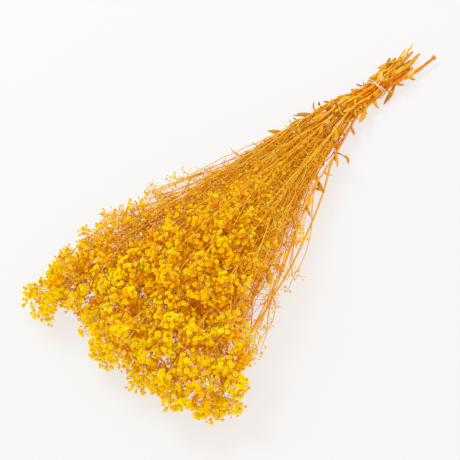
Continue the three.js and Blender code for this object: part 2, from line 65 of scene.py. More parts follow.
# Main stems: twenty cut stems, dried, dyed and drawn together by the tie. They are round, up to
# 2.6 mm thick with swollen joints, and fan out into the head. One on the near side is thicker,
# and its cut end is a swollen joint.
SPRAYS = 20
SEED = 21
HASH = (12.9898, 78.233, 37.719)
HASH_SCALE = 43758.5453
TIE_X = 0.207
BUNCH_Y = 0.0052
REACH = 0.5  # from the tie to the head's end
FAN = math.radians(14)  # the head opens by this angle to each side, and the tail by the next
TAIL_FAN = math.radians(6)
PINCH = 0.025  # how softly both open at the tie
STEM_GAP = 0.00035  # between two tied stems
GATHER_LENGTH = 0.06  # how far from the tie stems are still drawn together
GATHER_STEPS = 60
GATHER_PACE = 4  # each step closes a quarter of the gap
TIE_HALF_WIDTH = 0.0125
TIE_HALF_HEIGHT = 0.009
TIE_MIDDLE = 0.0129
HEAD_HALF_HEIGHT = 0.033
HEAD_MIDDLE = 0.046
HEAD_CREST = 0.38
RIM_SAG = 0.015
RIM_THINNING = 0.01
RIM_ROUNDING = 0.02
NECK_BOW = 0.012
NECK_START = 0.06
NECK_END = (0.15, 0.32)
TAIL_BOW = -0.004
TAIL_BOW_LENGTH = 0.06
TAIL_SAG = 0.0044
TAIL_SAG_LENGTH = 0.07
STEM_RADIUS = 0.0013
THICK_STEM = 17
THICK_STEM_RADIUS = 0.0019
THICK_STEM_TAIL = 0.097
THICK_STEM_STRAY = 0.006
STEM_STATIONS = (-0.03, 0, 0.038, 0.095, 0.165, 0.24, 0.32, 0.4)
END_MARGINS = (0.015, 0.02)
WANDER = 0.0022
WANDER_UP = 0.4
WANDER_START = 0.2
WANDER_WAVE = 0.047
WANDER_PHASE = 2.4
SHORTEST_SPRAY = 0.88
LENGTH_BIAS = 0.7
SHORTEST_TAIL = 0.05
LONGEST_TAIL = 0.092
FIRST_TUFT = 0.46
BARE_SIDE = 0.1
GOLDEN_ANGLE = math.pi * (3 - math.sqrt(5))
UP = Vector((0, 0, 1))

STEM_STEP = 0.006  # between the points of a stem's line
STEM_TIP_RADIUS = 0.0005
STEM_THINS_FROM = 0.015
STEM_THINNING = 0.45  # under 1, a stem thins more before the middle
JOINT_SPACING = 0.036
JOINT_SWELL = 0.45
JOINT_LENGTH = 0.0022
KNOB_SWELL = 0.75
KNOB_LENGTH = 0.004
STEM_TONE_RANGE = (0.4, 1.15)
THICK_STEM_TONE = 0.6
DEEP_RUN = 1.9  # half heights over the bunch's bottom, below which painted shade darkens stems
TAIL_TONE = 0.45  # the stems are darker below the tie
TAIL_TONE_END = 0.08
HIGHEST = 0.101  # no stem and no floret's middle is higher
STEM_SIDES = 8


def draw(a, b, c):
    """A number from 0 to 1 that is always the same for the same three keys."""
    wave = math.sin(a * HASH[0] + b * HASH[1] + c * HASH[2] + SEED) * HASH_SCALE
    return wave - math.floor(wave)


def between(low, high, share):
    return low + (high - low) * share


def clamp(x):
    return min(1.0, max(0.0, x))


def ease(x):
    return clamp(x) ** 2 * (3 - 2 * clamp(x))


def rising(x, start, end):
    """From 0 to 1, smoothly, while x goes from start to end."""
    return ease((x - start) / (end - start))


def half_width(along):
    lean = FAN if along > 0 else TAIL_FAN
    return TIE_HALF_WIDTH + math.tan(lean) * (math.hypot(along, PINCH) - PINCH)


def middle_line(along):
    neck = ease(along / NECK_START) * (1 - rising(along, *NECK_END))
    return BUNCH_Y + NECK_BOW * neck + TAIL_BOW * ease(-along / TAIL_BOW_LENGTH)


def half_height(along):
    rise = ease(along / HEAD_CREST)
    fall = rising(along, HEAD_CREST, REACH)
    return between(TIE_HALF_HEIGHT, HEAD_HALF_HEIGHT, rise) - RIM_THINNING * fall


def middle(along):
    rise = ease(along / HEAD_CREST)
    fall = rising(along, HEAD_CREST, REACH)
    tail = ease(-along / TAIL_SAG_LENGTH)
    return between(TIE_MIDDLE, HEAD_MIDDLE, rise) - RIM_SAG * fall - TAIL_SAG * tail


def solid_corners(name):
    """The corners of a spray's solid in the frame, to look up where it has a floret or a leaf."""
    vertices = frame["nodes"][name].data.vertices
    tree = KDTree(len(vertices))
    for vertex in vertices:
        tree.insert(vertex.co, vertex.index)
    tree.balance()
    return tree


def make_spray(index):
    out = math.sqrt((index + 0.5) / SPRAYS)
    side = out * math.cos(index * GOLDEN_ANGLE)
    up = out * math.sin(index * GOLDEN_ANGLE)
    rounding = 1 - RIM_ROUNDING * abs(side) ** 3
    chance = draw(index, 1, 1) ** LENGTH_BIAS
    tail = between(SHORTEST_TAIL, LONGEST_TAIL, draw(index, 2, 1))
    name = f"spray_{index + 1:02d}"
    return SimpleNamespace(
        index=index,
        name=name,
        side=side,
        up=up,
        radius=THICK_STEM_RADIUS if index == THICK_STEM else STEM_RADIUS,
        length=REACH * rounding * between(SHORTEST_SPRAY, 1, chance),
        first_tuft=FIRST_TUFT + BARE_SIDE * ease(2 * side),
        tail=THICK_STEM_TAIL if index == THICK_STEM else tail,
        corners=solid_corners(name),
    )


def gather(sprays):
    """Draws each stem in turn to its nearest neighbour in the tie."""
    tied = []
    for spray in sprays:
        start = np.array([spray.side * TIE_HALF_WIDTH, spray.up * TIE_HALF_HEIGHT])
        place = start.copy()
        for _ in range(GATHER_STEPS if tied else 0):
            gaps = [np.linalg.norm(p - place) - r - spray.radius for p, r in tied]
            near = int(np.argmin(gaps))
            towards = tied[near][0] - place
            place += towards / np.linalg.norm(towards) * (gaps[near] - STEM_GAP) / GATHER_PACE
        spray.pull = place - start
        tied.append((place, spray.radius))


def stem_point(spray, along):
    wave = math.sin(along / WANDER_WAVE + spray.index * WANDER_PHASE)
    wander = WANDER * ease(along / WANDER_START) * wave
    off = THICK_STEM_STRAY if spray.index == THICK_STEM else 0
    stray = off * ease(-along / THICK_STEM_TAIL)
    pull = 1 - ease(abs(along) / GATHER_LENGTH)
    y = middle_line(along) + spray.side * half_width(along) + wander - stray
    z = middle(along) + spray.up * half_height(along) + WANDER_UP * wander
    return Vector((TIE_X - along, y + pull * spray.pull[0], z + pull * spray.pull[1]))


def on_stem(spray, along):
    """A point of the solid's stem, which is straight between its stations."""
    low, high = END_MARGINS[0] - spray.tail, spray.length - END_MARGINS[1]
    knob = [KNOB_LENGTH - spray.tail] if spray.index == THICK_STEM else []
    inner = [a for a in STEM_STATIONS if low < a < high]
    stations = [-spray.tail, *knob, *inner, spray.length]
    step = max(0, sum(a <= along for a in stations) - 1)
    step = min(step, len(stations) - 2)
    start, end = stations[step], stations[step + 1]
    share = (along - start) / (end - start)
    return stem_point(spray, start).lerp(stem_point(spray, end), share)


def stem_radius(spray, along):
    taper = clamp((along - STEM_THINS_FROM) / (spray.length - STEM_THINS_FROM))
    radius = between(spray.radius, STEM_TIP_RADIUS, ease(taper**STEM_THINNING))
    phase = (along + JOINT_SPACING * draw(spray.index, 3, 1)) / JOINT_SPACING
    off_joint = (phase - round(phase)) * JOINT_SPACING / JOINT_LENGTH
    radius *= 1 + JOINT_SWELL * math.exp(-off_joint * off_joint)
    if spray.index == THICK_STEM:
        radius *= 1 + KNOB_SWELL * ease(1 - (along + spray.tail) / KNOB_LENGTH)
    return radius


def clear(point, height):
    """The point, moved to stay over the table by a height and under the head's top."""
    return Vector((point.x, point.y, min(HIGHEST, max(point.z, height))))


def painted_shade_factor(point):
    """Painted shade: the share of a stem's tone kept at a point, less the deeper it lies."""
    along = TIE_X - point.x
    height = (point.z - middle(along)) / half_height(along)
    return ease((height + 1) / DEEP_RUN)


def line(points, radii, tones):
    """One stem, branch or stalk: its points, and how thick and how pale it is at each."""
    return SimpleNamespace(points=points, radii=radii, tones=np.broadcast_to(tones, len(points)))


def stem_line(spray):
    count = round((spray.length + spray.tail) / STEM_STEP)
    alongs = np.linspace(-spray.tail, spray.length, count)
    radii = [stem_radius(spray, along) for along in alongs]
    points = [clear(stem_point(spray, along), radius) for along, radius in zip(alongs, radii)]
    tone = between(*STEM_TONE_RANGE, draw(spray.index, 4, 1))
    if spray.index == THICK_STEM:
        tone = THICK_STEM_TONE
    # its tone is darkened by painted shade deep in the bunch, and is darker below the tie
    tones = []
    for along, point in zip(alongs, points):
        above_tie = ease(along / TAIL_TONE_END)
        tones.append(tone * between(TAIL_TONE, painted_shade_factor(point), above_tie))
    return line(points, radii, tones)


def node_group(name, kind, inputs, outputs):
    """An empty group of nodes with its named sockets, which are given as names and kinds."""
    group = bpy.data.node_groups.new(name, kind)
    for in_out, sockets in (("INPUT", inputs), ("OUTPUT", outputs)):
        for label, socket in sockets.items():
            group.interface.new_socket(label, in_out=in_out, socket_type=f"NodeSocket{socket}")
    return group, group.nodes, group.links.new


def end_tree(nodes, link, given, geometry, label):
    """The last nodes of a geometry tree: its instances made real, and its material set."""
    realize = nodes.new("GeometryNodeRealizeInstances")
    finish = nodes.new("GeometryNodeSetMaterial")
    made = nodes.new("NodeGroupOutput")
    link(geometry, realize.inputs["Geometry"])
    link(realize.outputs["Geometry"], finish.inputs["Geometry"])
    link(given.outputs["Material"], finish.inputs["Material"])
    link(finish.outputs["Geometry"], made.inputs[label])


def tube_tree():
    """Geometry nodes that turn lines into round stalks, as thick as each point says."""
    inputs = {"Lines": "Geometry", "Sides": "Int", "Material": "Material"}
    outputs = {"Stalks": "Geometry"}
    tree, nodes, link = node_group("stalks", "GeometryNodeTree", inputs, outputs)
    given = nodes.new("NodeGroupInput")
    curves = nodes.new("GeometryNodeMeshToCurve")
    thickness = nodes.new("GeometryNodeInputNamedAttribute")
    thickness.inputs["Name"].default_value = "thickness"
    profile = nodes.new("GeometryNodeCurvePrimitiveCircle")
    profile.inputs["Radius"].default_value = 1
    sweep = nodes.new("GeometryNodeCurveToMesh")
    sweep.inputs["Fill Caps"].default_value = True
    link(given.outputs["Lines"], curves.inputs["Mesh"])
    link(curves.outputs["Curve"], sweep.inputs["Curve"])
    link(given.outputs["Sides"], profile.inputs["Resolution"])
    link(profile.outputs["Curve"], sweep.inputs["Profile Curve"])
    link(thickness.outputs["Attribute"], sweep.inputs["Scale"])
    end_tree(nodes, link, given, sweep.outputs["Mesh"], "Stalks")
    return tree


def grown(name, guide, tree, values):
    """The plain mesh object that a tree of geometry nodes makes from a guide mesh."""
    source = bpy.data.objects.new("guide", guide)
    bpy.context.scene.collection.objects.link(source)
    modifier = source.modifiers.new("grow", "NODES")
    modifier.node_group = tree
    sockets = {s.name: s.identifier for s in tree.interface.items_tree if s.in_out == "INPUT"}
    for label, value in values.items():
        modifier[sockets[label]] = value
    evaluated = source.evaluated_get(bpy.context.evaluated_depsgraph_get())
    mesh = bpy.data.meshes.new_from_object(evaluated)
    mesh.name = name
    bpy.data.objects.remove(source)
    piece = bpy.data.objects.new(name, mesh)
    bpy.context.scene.collection.objects.link(piece)
    return piece


def add_values(mesh, name, kind, values):
    field = "vector" if kind == "FLOAT_VECTOR" else "value"
    attribute = mesh.attributes.new(name, kind, "POINT")
    attribute.data.foreach_set(field, np.asarray(values).ravel())


def stalks(name, lines, sides, material):
    """A mesh of round stalks along lines."""
    guide = bpy.data.meshes.new("lines")
    points = [point for one in lines for point in one.points]
    edges = []
    for one in lines:
        first = edges[-1][1] + 1 if edges else 0
        edges += [(first + i, first + i + 1) for i in range(len(one.points) - 1)]
    guide.from_pydata(points, edges, [])
    add_values(guide, "thickness", "FLOAT", [r for one in lines for r in one.radii])
    add_values(guide, "tone", "FLOAT", [tone for one in lines for tone in one.tones])
    return grown(name, guide, stalk_nodes, {"Sides": sides, "Material": material})


def belongs(piece, slot_name, *nodes):
    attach(piece, "root")
    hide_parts(*nodes)


def new_material(name):
    """A material with its nodes, the links' maker and its Principled shader."""
    material = bpy.data.materials.new(name)
    material.use_nodes = True
    tree = material.node_tree
    return material, tree.nodes, tree.links.new, tree.nodes["Principled BSDF"]


def streak_group():
    """Fibre streaks and blotches for anything dried, as two values from 0 to 1."""
    inputs = {"Streak Size": "Float", "Blotch Size": "Float"}
    outputs = {"Streaks": "Float", "Blotches": "Float"}
    group, nodes, link = node_group("dried streaks", "ShaderNodeTree", inputs, outputs)
    given = nodes.new("NodeGroupInput")
    made = nodes.new("NodeGroupOutput")
    place = nodes.new("ShaderNodeTexCoord")
    stretch = nodes.new("ShaderNodeMapping")
    stretch.inputs["Scale"].default_value = STREAK_STRETCH
    streaks = nodes.new("ShaderNodeTexNoise")
    streaks.inputs["Detail"].default_value = STREAK_DETAIL
    blotches = nodes.new("ShaderNodeTexNoise")
    blotches.inputs["Detail"].default_value = BLOTCH_DETAIL
    link(place.outputs["Object"], stretch.inputs["Vector"])
    link(stretch.outputs["Vector"], streaks.inputs["Vector"])
    link(place.outputs["Object"], blotches.inputs["Vector"])
    for size, noise in (("Streak Size", streaks), ("Blotch Size", blotches)):
        frequency = nodes.new("ShaderNodeMath")
        frequency.operation = "DIVIDE"
        frequency.inputs[0].default_value = 1
        link(given.outputs[size], frequency.inputs[1])
        link(frequency.outputs["Value"], noise.inputs["Scale"])
    link(streaks.outputs["Fac"], made.inputs["Streaks"])
    link(blotches.outputs["Fac"], made.inputs["Blotches"])
    return group


def dried_streaks(nodes, streak_size, blotch_size):
    node = nodes.new("ShaderNodeGroup")
    node.node_tree = streaks_group
    node.inputs["Streak Size"].default_value = streak_size
    node.inputs["Blotch Size"].default_value = blotch_size
    return node.outputs["Streaks"], node.outputs["Blotches"]


def ramp(nodes, link, value, stops):
    """A colour for each value: stops are pairs of a value and a colour."""
    node = nodes.new("ShaderNodeValToRGB")
    elements = node.color_ramp.elements
    while len(elements) < len(stops):
        elements.new(0.5)
    for element, (place, colour) in zip(elements, stops):
        element.position = place
        element.color = (*colour, 1)
    link(value, node.inputs["Fac"])
    return node.outputs["Color"]


def mixed(nodes, link, share, a, b, blend="MIX"):
    """Colour a, mixed with colour b by a share; each may be a value or an output."""
    node = nodes.new("ShaderNodeMix")
    node.data_type = "RGBA"
    node.blend_type = blend
    for socket, given in (("Factor", share), ("A", a), ("B", b)):
        target = next(s for s in node.inputs if s.name == socket and s.enabled)
        if isinstance(given, bpy.types.NodeSocket):
            link(given, target)
        elif socket == "Factor":
            target.default_value = given
        else:
            target.default_value = (*given, 1)
    return next(s for s in node.outputs if s.enabled)


def bumped(nodes, link, shader, height, depth):
    bump = nodes.new("ShaderNodeBump")
    bump.inputs["Strength"].default_value = BUMP_STRENGTH
    bump.inputs["Distance"].default_value = depth
    link(height, bump.inputs["Height"])
    link(bump.outputs["Normal"], shader.inputs["Normal"])


def named(nodes, name):
    node = nodes.new("ShaderNodeAttribute")
    node.attribute_name = name
    return node.outputs["Fac"]


def stem_material():
    material, nodes, link, shader = new_material("dried stem")
    streaks, blotches = dried_streaks(nodes, *STEM_GRAIN)
    tone = ramp(nodes, link, named(nodes, "tone"), STEM_TONES)
    streaked = mixed(nodes, link, ramp(nodes, link, streaks, GREY_STREAKS), tone, STEM_STREAK)
    colour = mixed(nodes, link, ramp(nodes, link, blotches, GREY_BLOTCHES), streaked, STEM_BLOTCH)
    link(colour, shader.inputs["Base Color"])
    shader.inputs["Roughness"].default_value = STEM_ROUGHNESS
    shader.inputs["Specular IOR Level"].default_value = STEM_SHINE
    bumped(nodes, link, shader, streaks, STEM_BUMP)
    return material


# low tones are also the painted shade of stems deep in the bunch
STEM_TONES = (
    (0, (0.52, 0.1, 0.001)),
    (0.35, (0.88, 0.3, 0.004)),
    (0.7, (1, 0.59, 0.014)),
    (1, (1, 0.86, 0.1)),
)
STEM_GRAIN = (0.0006, 0.02)  # the sizes of its fibre streaks and of its blotches
STEM_BUMP = 0.0002
STEM_ROUGHNESS = 0.6
STEM_SHINE = 0.15
STEM_STREAK = (0.45, 0.1, 0.001)
STEM_BLOTCH = (1, 0.55, 0.03)
STREAK_STRETCH = (0.06, 1, 1)  # the fibres run along the bunch
STREAK_DETAIL = 3
BLOTCH_DETAIL = 2
BUMP_STRENGTH = 0.6
GREY_STREAKS = ((0.45, (0, 0, 0)), (0.75, (0.7, 0.7, 0.7)))
GREY_BLOTCHES = ((0.45, (0, 0, 0)), (0.7, (0.5, 0.5, 0.5)))

streaks_group = streak_group()
stem_finish = stem_material()
stalk_nodes = tube_tree()
sprays = [make_spray(index) for index in range(SPRAYS)]
gather(sprays)
for spray in sprays:
    made = stalks(f"{spray.name}_stem", [stem_line(spray)], STEM_SIDES, stem_finish)
    belongs(made, "stem", spray.name)

# Side branches and cymes: every stem forks into long, thin branches, and each of these forks
# again and again into a cyme, a flat-topped tuft with a floret at the end of every fine stalk.
BRANCHES = 7
BRANCH_RUN = (0.095, 0.038)
BRANCH_PLACE = 0.6
BRANCH_CROWDING = 0.8
BRANCH_JITTER = 0.08
BRANCH_SPREAD = 0.036
BRANCH_LIFT = 0.018
SMALLEST_SPREAD = 0.45
BRANCH_CURVE = 0.9
TUFT_TRIES = 40
TIP_RUN = 0.012
TIP_OVERRUN = 0.001
HUB_HALF = 0.0014
STALK = 0.011
STALK_RANGE = (0.85, 1.15)
FLORET_RADIUS = 0.0078
FLORET_DOME = 0.003
FLORET_LEAN = 0.15
LOWEST_HUB = 0.0125
FACES = ((0, 1), (1, 1), (2, 1), (1, -1), (2, -1))
SEATED = 0.00005  # a point this near a solid's corner is that corner
OPEN_SEATS = 2  # corners to be found, for the solid to have a floret
GROWN_SEATS = 3  # and for it to have a hub

EARLY_FORK = 0.75  # of its solid's length, by which a branch leaves its stem sooner
BRANCH_OFFSET = 0.0024  # how far it then runs beside the stem
OFFSET_RUN = 0.4  # the share of it over which it comes off the stem
BEND_RUN = 0.2  # and then bends towards its tuft
BRANCH_POINTS = 14
BRANCH_RADII = (0.0008, 0.00045)
BRANCH_SIDES = 5
FORK_PLACES = (0.62, 0.3)  # how far before the florets a cyme forks, as shares of its stalk
FORKS = 3
FORK_JITTER = 0.2
FORK_SPREAD = 0.45
FORK_RADII = (0.0004, 0.0003, 0.0002)
FORK_BOW = 0.35
FINE_TONES = (0.68, 1.2)
ROOT_TONE = 0.75  # of a long side stem's tone, at its root
STALK_SIDES = 3
EARLY_CYME = (0.5, 0.85)  # where on its branch a tuft's sideways cyme leaves
KNEE_PLACE = 0.6  # the bend of a stalk, on its way from its root
KNEE_RISE = 0.002
CYME_RADIUS = 0.0076
CYME_RANGE = (0.7, 1.3)
CYME_DEPTH = 0.9  # of its radius, and it grows less at its rim
OPEN_CYME = (12, 2)  # florets and buds
CLOSED_CYME = (5, 2)
FEWEST_FLORETS = 2  # where the solid has a floret
RICHNESS = (0.6, 1.3)  # of one cyme beside the next
BUD_SHARES = (1.8, 0.4)  # of a cyme's buds, where nothing flowers yet and where all does
FLORET_RANGE = (0.62, 1.15)
SPARSE_SIZE = 0.65  # of a floret's size, where nothing else flowers
FLORET_JITTER = 0.15  # turns round its cyme
FLORET_TONES = (0.7, 1.25)
CYME_ALIKE = 0.4  # how much of a floret's tone it has in common with its cyme
KIND_BIAS = 0.7  # under 1, more florets are of the last and most closed kind
FACING_OUT = 0.8  # how far the florets at a cyme's rim face outwards, and all of them upwards
FACING_UP = 0.4
CLOSED_SHARE = 0.55  # of a stalk's length where the solid has no room for its floret
BUD_REACH = 1.2  # shares of its cyme's radius
BUD_PLACES = (0.4, 1)
LOWEST_FLORET = 0.003
SHOOTS = (-0.35, -0.1, 0.1, 0.3, 0.5, 0.65, 0.8, 0.92)  # places on a branch, where 1 is its tuft
SHOOT_LENGTH = (0.012, 0.034)
SHOOT_LEAN = (0.35, 1)
SHOOT_RISE = 0.15
SHOOT_KNEE = 0.25
AHEAD = 0.02  # the share of a path over which its direction is taken
SHOOT_CYME = (11, 2)
SHOOT_RADIUS = 0.007
SHOOT_TRIES = 12
COLUMN = 0.008  # the squares in which florets are counted, as seen from above
SQUARES_LONG = (-40, 40)  # the squares that hold the bunch, over x and over y
SQUARES_WIDE = (-20, 20)
END_PAINTED_LIGHT = 0.35  # painted light: the florets are paler at the head's end
END_START, END_RUN = 0.38, 0.1
THIN = 13  # with fewer florets, another side shoot grows into a square of the head
THIN_RUN = 0.03
THIN_HEIGHTS = (-0.5, 0.5)
THIN_BLOOM = 0.3  # but not where it flowers less than this
SHADED_BY = 11  # florets over one in its square for its full painted shade, a darker oranger tone
SHADE = 1.05
RIM = (-3, -2, -1, 0, 1, 2, 3)  # the squares beside it, which show how near the rim it is
RIM_SHADE = 0.2  # of the shade, at the rim, where light comes from the side
RIM_START, RIM_RUN = 0.58, 0.36
CROWDED = 330  # with so many florets near, counted by crowding(), no other shoot has light
SPARSE_SHARE = 0.4  # of that number, where nothing flowers yet
BARE = 0.02  # with less flowering than this, a place is bare
BARE_SHOOTS = 0.4  # how many shoots are left out there
WISPS = 15  # long fine side stems, nearly beside each main stem
EDGE_WISPS = 2  # beside the outermost stem
WISP_START = (0.06, 0.23)
WISP_LENGTH = (0.11, 0.28)
WISP_LEAN = (0.02, 0.24)
WISP_FLATNESS = 0.6  # they lean and wave less up than aside
WISP_EDGES = (-0.93, 0.8)  # near side and far side, as shares of the half width
WISP_WAVE = (0.001, 0.003)
WISP_WAVE_RUN = 0.25
WISP_SLANT = 7  # over a whole turn, so that they wave in any direction
WISP_NODE = 0.034
WISP_POINTS = 16
WISP_RADII = (0.00075, 0.0003)
WISP_CYME = (8, 3)
WISP_SHOOTS = (0.25, 0.36, 0.5, 0.64, 0.78, 0.9)
TWIGS = 7  # bare forked twigs on each side stem, whose florets have dropped
TWIG_LENGTH = (0.008, 0.022)
TWIG_LEAN = (0.4, 1.2)
TWIG_SPLIT = 0.4
TWIG_RADII = (0.0004, 0.0003)
TWIG_TONES = (0.35, 1.15)
NEAR_TONE = 0.8
NEAR_STEPS = 4  # between two points of these stems
NEAR_STALK = 0.006
NEAR_SPREAD = 0.004
NEAR_STEMS = (
    # side stems that stand clear of the bunch at its near edge, where they fork on the table:
    # florets and buds at the end, radii in millimetres, and places x, y, z in millimetres
    (0, 0, 1.3, 1.1, ((97, -15.7, 20), (73, -21, 16), (38, -35.5, 12), (4, -47, 10),
                      (-28, -56, 10), (-58, -64, 10), (-88, -70, 9), (-117, -74.7, 9))),
    (3, 2, 0.8, 0.4, ((27, -28.5, 18), (7, -40, 15), (-12, -53, 12), (-27, -61, 10),
                      (-45, -68.6, 9), (-61, -73, 8), (-76, -75.3, 7), (-93, -80, 6))),
    (0, 2, 0.4, 0.3, ((-61, -73, 8), (-70, -76, 9))),
    (0, 2, 0.4, 0.3, ((-76, -75.3, 7), (-75, -81, 8))),
    (1, 1, 0.9, 0.5, ((-28, -56, 10), (-39, -54.5, 13), (-54.5, -54, 17), (-68, -53.6, 20),
                      (-81, -53.6, 24))),
    (3, 2, 1, 0.5, ((-117, -74.7, 9), (-127, -76.6, 9), (-136, -77.7, 9), (-147, -79.4, 9),
                    (-159, -84.4, 8), (-168, -88.6, 8), (-177, -93, 7))),
    (2, 2, 0.6, 0.3, ((-147, -79.4, 9), (-156, -76.7, 11), (-166, -76, 13))),
    (0, 2, 0.4, 0.3, ((-148, -80, 9), (-153, -87.6, 8))),
    (2, 2, 0.7, 0.4, ((-124, -76.8, 9), (-133.5, -82, 8), (-143, -87.6, 7), (-151.5, -92.6, 7),
                      (-163, -94.3, 7), (-173, -95.6, 7), (-183, -97.3, 6))),
    (2, 1, 0.7, 0.4, ((-117, -74.7, 9), (-120, -80.4, 8), (-128, -86, 7), (-139, -91, 6),
                      (-149, -93.3, 6), (-159, -96.6, 6), (-172, -101, 6))),
    (1, 3, 0.6, 0.3, ((-120, -74.5, 10), (-128, -72.3, 12), (-140, -71.5, 14), (-148, -72.2, 15),
                      (-157, -72.3, 17))),
    (1, 2, 0.7, 0.4, ((-112, -61, 24), (-125, -63, 24), (-139, -64, 24), (-150, -64, 24),
                      (-163, -65.7, 24))),
)
NEAR_CYMES = (
    # and clusters there: along the outermost stem, florets, radius, and x, y, z in millimetres
    (0.19, 14, 9, (-31, -39, 28)),
    (0.2, 12, 7, (-34, -50, 26)),
    (0.26, 12, 7, (-91, -55.5, 28)),
    (0.27, 9, 6, (-92, -63, 26)),
)
TAIL_TWIG_POINTS = 9
TAIL_TWIGS = (
    # stem, its end along, how far it leans aside and up there, and its radius
    (0, -0.095, 0.003, 0.008, 0.0005),
    (2, -0.09, 0.002, 0.002, 0.0009),
    (5, -0.087, 0.004, 0.001, 0.0011),
    (3, -0.091, 0.001, 0.001, 0.001),
)
BLOOM_START = (0.17, 0.28, 0.24)  # along, where florets start: middle, far side and near side
BLOOM_FAR = (0.1, 0.7)  # shares of the half width, between which the far side begins
BLOOM_NEAR = (-0.2, -0.7)  # and the near side
BLOOM_RISE = 0.22
BLOOM_EDGE = (-0.58, 0.3, 0.92)  # the near edge, how wide it is, and how much barer
BLOOM_EDGE_END = (0.37, 0.44)
UNDERSIDE = 0.6  # how much of the flowering is left underneath
PATCHES = (
    # waves of thick and thin flowering: their lengths over x and over y, and where they start
    (0.0085, 0.006, 1),
    (-0.007, 0.0095, 2.2),
    (0.012, -0.0105, 4),
)
PATCHINESS = (0.5, 1.3)
HEAD_EDGE = (0.6, 1.03)  # of the half width, before and after the head's start
HEAD_START = (0.15, 0.35)
NEAR_EDGE = 0.74  # of the half width, where the bunch is bare on the near side
NEAR_EDGE_END = (0.35, 0.43)
HEAD_TOP = 1.3  # of the half height over the middle
HEAD_END = -0.296
LOWEST_TIP = 0.005
FLORET_BASE = 0.0016  # how far below a floret's middle its stalk ends
BUD_BASE = 0.0004
FLORET_KINDS = 3


def across(tangent):
    """Directions across a path that heads towards tangent: level, and upwards."""
    level = tangent.cross(UP).normalized()
    return level, level.cross(tangent)


def sideways(tangent, turn):
    """A direction across the path, at an angle from level."""
    level, upward = across(tangent)
    return level * math.cos(turn) + upward * math.sin(turn)


def plan_branch(spray, branch, attempt):
    def chance(key):
        return draw(spray.index, branch, attempt + key)

    share = (branch + BRANCH_PLACE) / BRANCHES
    jitter = BRANCH_JITTER * (chance(50) - 0.5)
    place = min(1, share**BRANCH_CROWDING + jitter)
    hub_along = spray.length * between(spray.first_tuft, 1, place)
    run = between(BRANCH_RUN[0], BRANCH_RUN[1], share)
    turn = 2 * math.pi * chance(0)
    size = between(SMALLEST_SPREAD, 1, chance(100))
    out = Vector((0, BRANCH_SPREAD * size * math.cos(turn), BRANCH_LIFT * size * math.sin(turn)))
    low = on_stem(spray, hub_along) + out
    lift = UP * max(0, LOWEST_HUB - low.z)

    def point_at(part):
        base = on_stem(spray, hub_along - run * (1 - part))
        return base + out * part**BRANCH_CURVE + lift * part

    def fine_point_at(part):
        """The same branch, forking off its stem sooner and running beside it first."""
        along = hub_along - run * (1 - part)
        beside = ease((part + EARLY_FORK) / OFFSET_RUN) * (1 - ease(part))
        side = Vector((0, math.cos(turn), math.sin(turn))) * BRANCH_OFFSET * beside
        if part <= 0:
            return stem_point(spray, along) + side
        straight = stem_point(spray, along).lerp(on_stem(spray, along), part)
        bend = ease(part / BEND_RUN)
        return straight + side + out * part**BRANCH_CURVE * bend + lift * part

    return point_at, fine_point_at


def plan_tip(spray):
    def point_at(part):
        return on_stem(spray, spray.length - TIP_RUN * (1 - part) + TIP_OVERRUN)

    return point_at, None


def face_corners(axis, sign):
    a, b, c = (4 >> ((axis + step) % 3) for step in range(3))
    own = a if sign > 0 else 0
    ring = [own + b + c, own + c, own, own + b]
    return ring if sign > 0 else ring[::-1]


def plan_tuft(spray, branch, plan):
    """A tuft's hub and its solid's five florets: which way, how far, and whether they are open."""
    point_at, fine_point_at = plan
    bend, hub = point_at(0.5), point_at(1)
    heading = (hub - bend).normalized()
    level, upward = across(heading)
    spin = 2 * math.pi * draw(spray.index, branch, 150)
    axes = (
        heading,
        upward * math.cos(spin) + level * math.sin(spin),
        level * math.cos(spin) - upward * math.sin(spin),
    )
    corners = []
    for i in range(8):
        signs = [1 if i & bit else -1 for bit in (4, 2, 1)]
        corners.append(hub + sum((a * s for a, s in zip(axes, signs)), Vector()) * HUB_HALF)
    florets = []
    for face, (axis, sign) in enumerate(FACES):
        out = axes[axis] * sign
        if axis > 0:
            out = (out + axes[0] * FLORET_LEAN).normalized()
        stalk = STALK * between(*STALK_RANGE, draw(spray.index, branch, 151 + face))
        rim = hub + out * stalk
        tips = []
        for corner in face_corners(axis, sign):
            outward = corners[corner] - hub
            outward -= out * outward.dot(out)
            tips.append(rim + outward.normalized() * FLORET_RADIUS)
        top = rim + out * FLORET_DOME
        seats = sum(spray.corners.find(p)[2] < SEATED for p in (*tips, top))
        florets.append(SimpleNamespace(out=out, stalk=stalk, open=seats >= OPEN_SEATS))
    seats = sum(spray.corners.find(p)[2] < SEATED for p in corners)
    return SimpleNamespace(
        spray=spray,
        branch=branch,
        hub=hub,
        path=fine_point_at,
        florets=florets,
        grown=seats >= GROWN_SEATS,
    )


def find_tufts(spray):
    """The tufts that the spray's solid has."""
    tufts = []
    for branch in range(BRANCHES + 1):
        at_tip = branch == BRANCHES
        for attempt in range(1 if at_tip else TUFT_TRIES):
            plan = plan_tip(spray) if at_tip else plan_branch(spray, branch, attempt)
            tuft = plan_tuft(spray, branch, plan)
            if tuft.grown:
                tufts.append(tuft)
                break
    return tufts


def curved(start, knee, end, steps):
    """Points of a smooth curve from start to end that is drawn towards knee."""
    points = []
    for share in np.linspace(0, 1, steps + 1):
        points.append(start.lerp(knee, share).lerp(knee.lerp(end, share), share))
    return points


def stalk_line(spray, points, radii, tone):
    points = [clear(point, radii[0]) for point in points]
    spray.stalks.append(line(points, np.linspace(*radii, len(points)), tone))


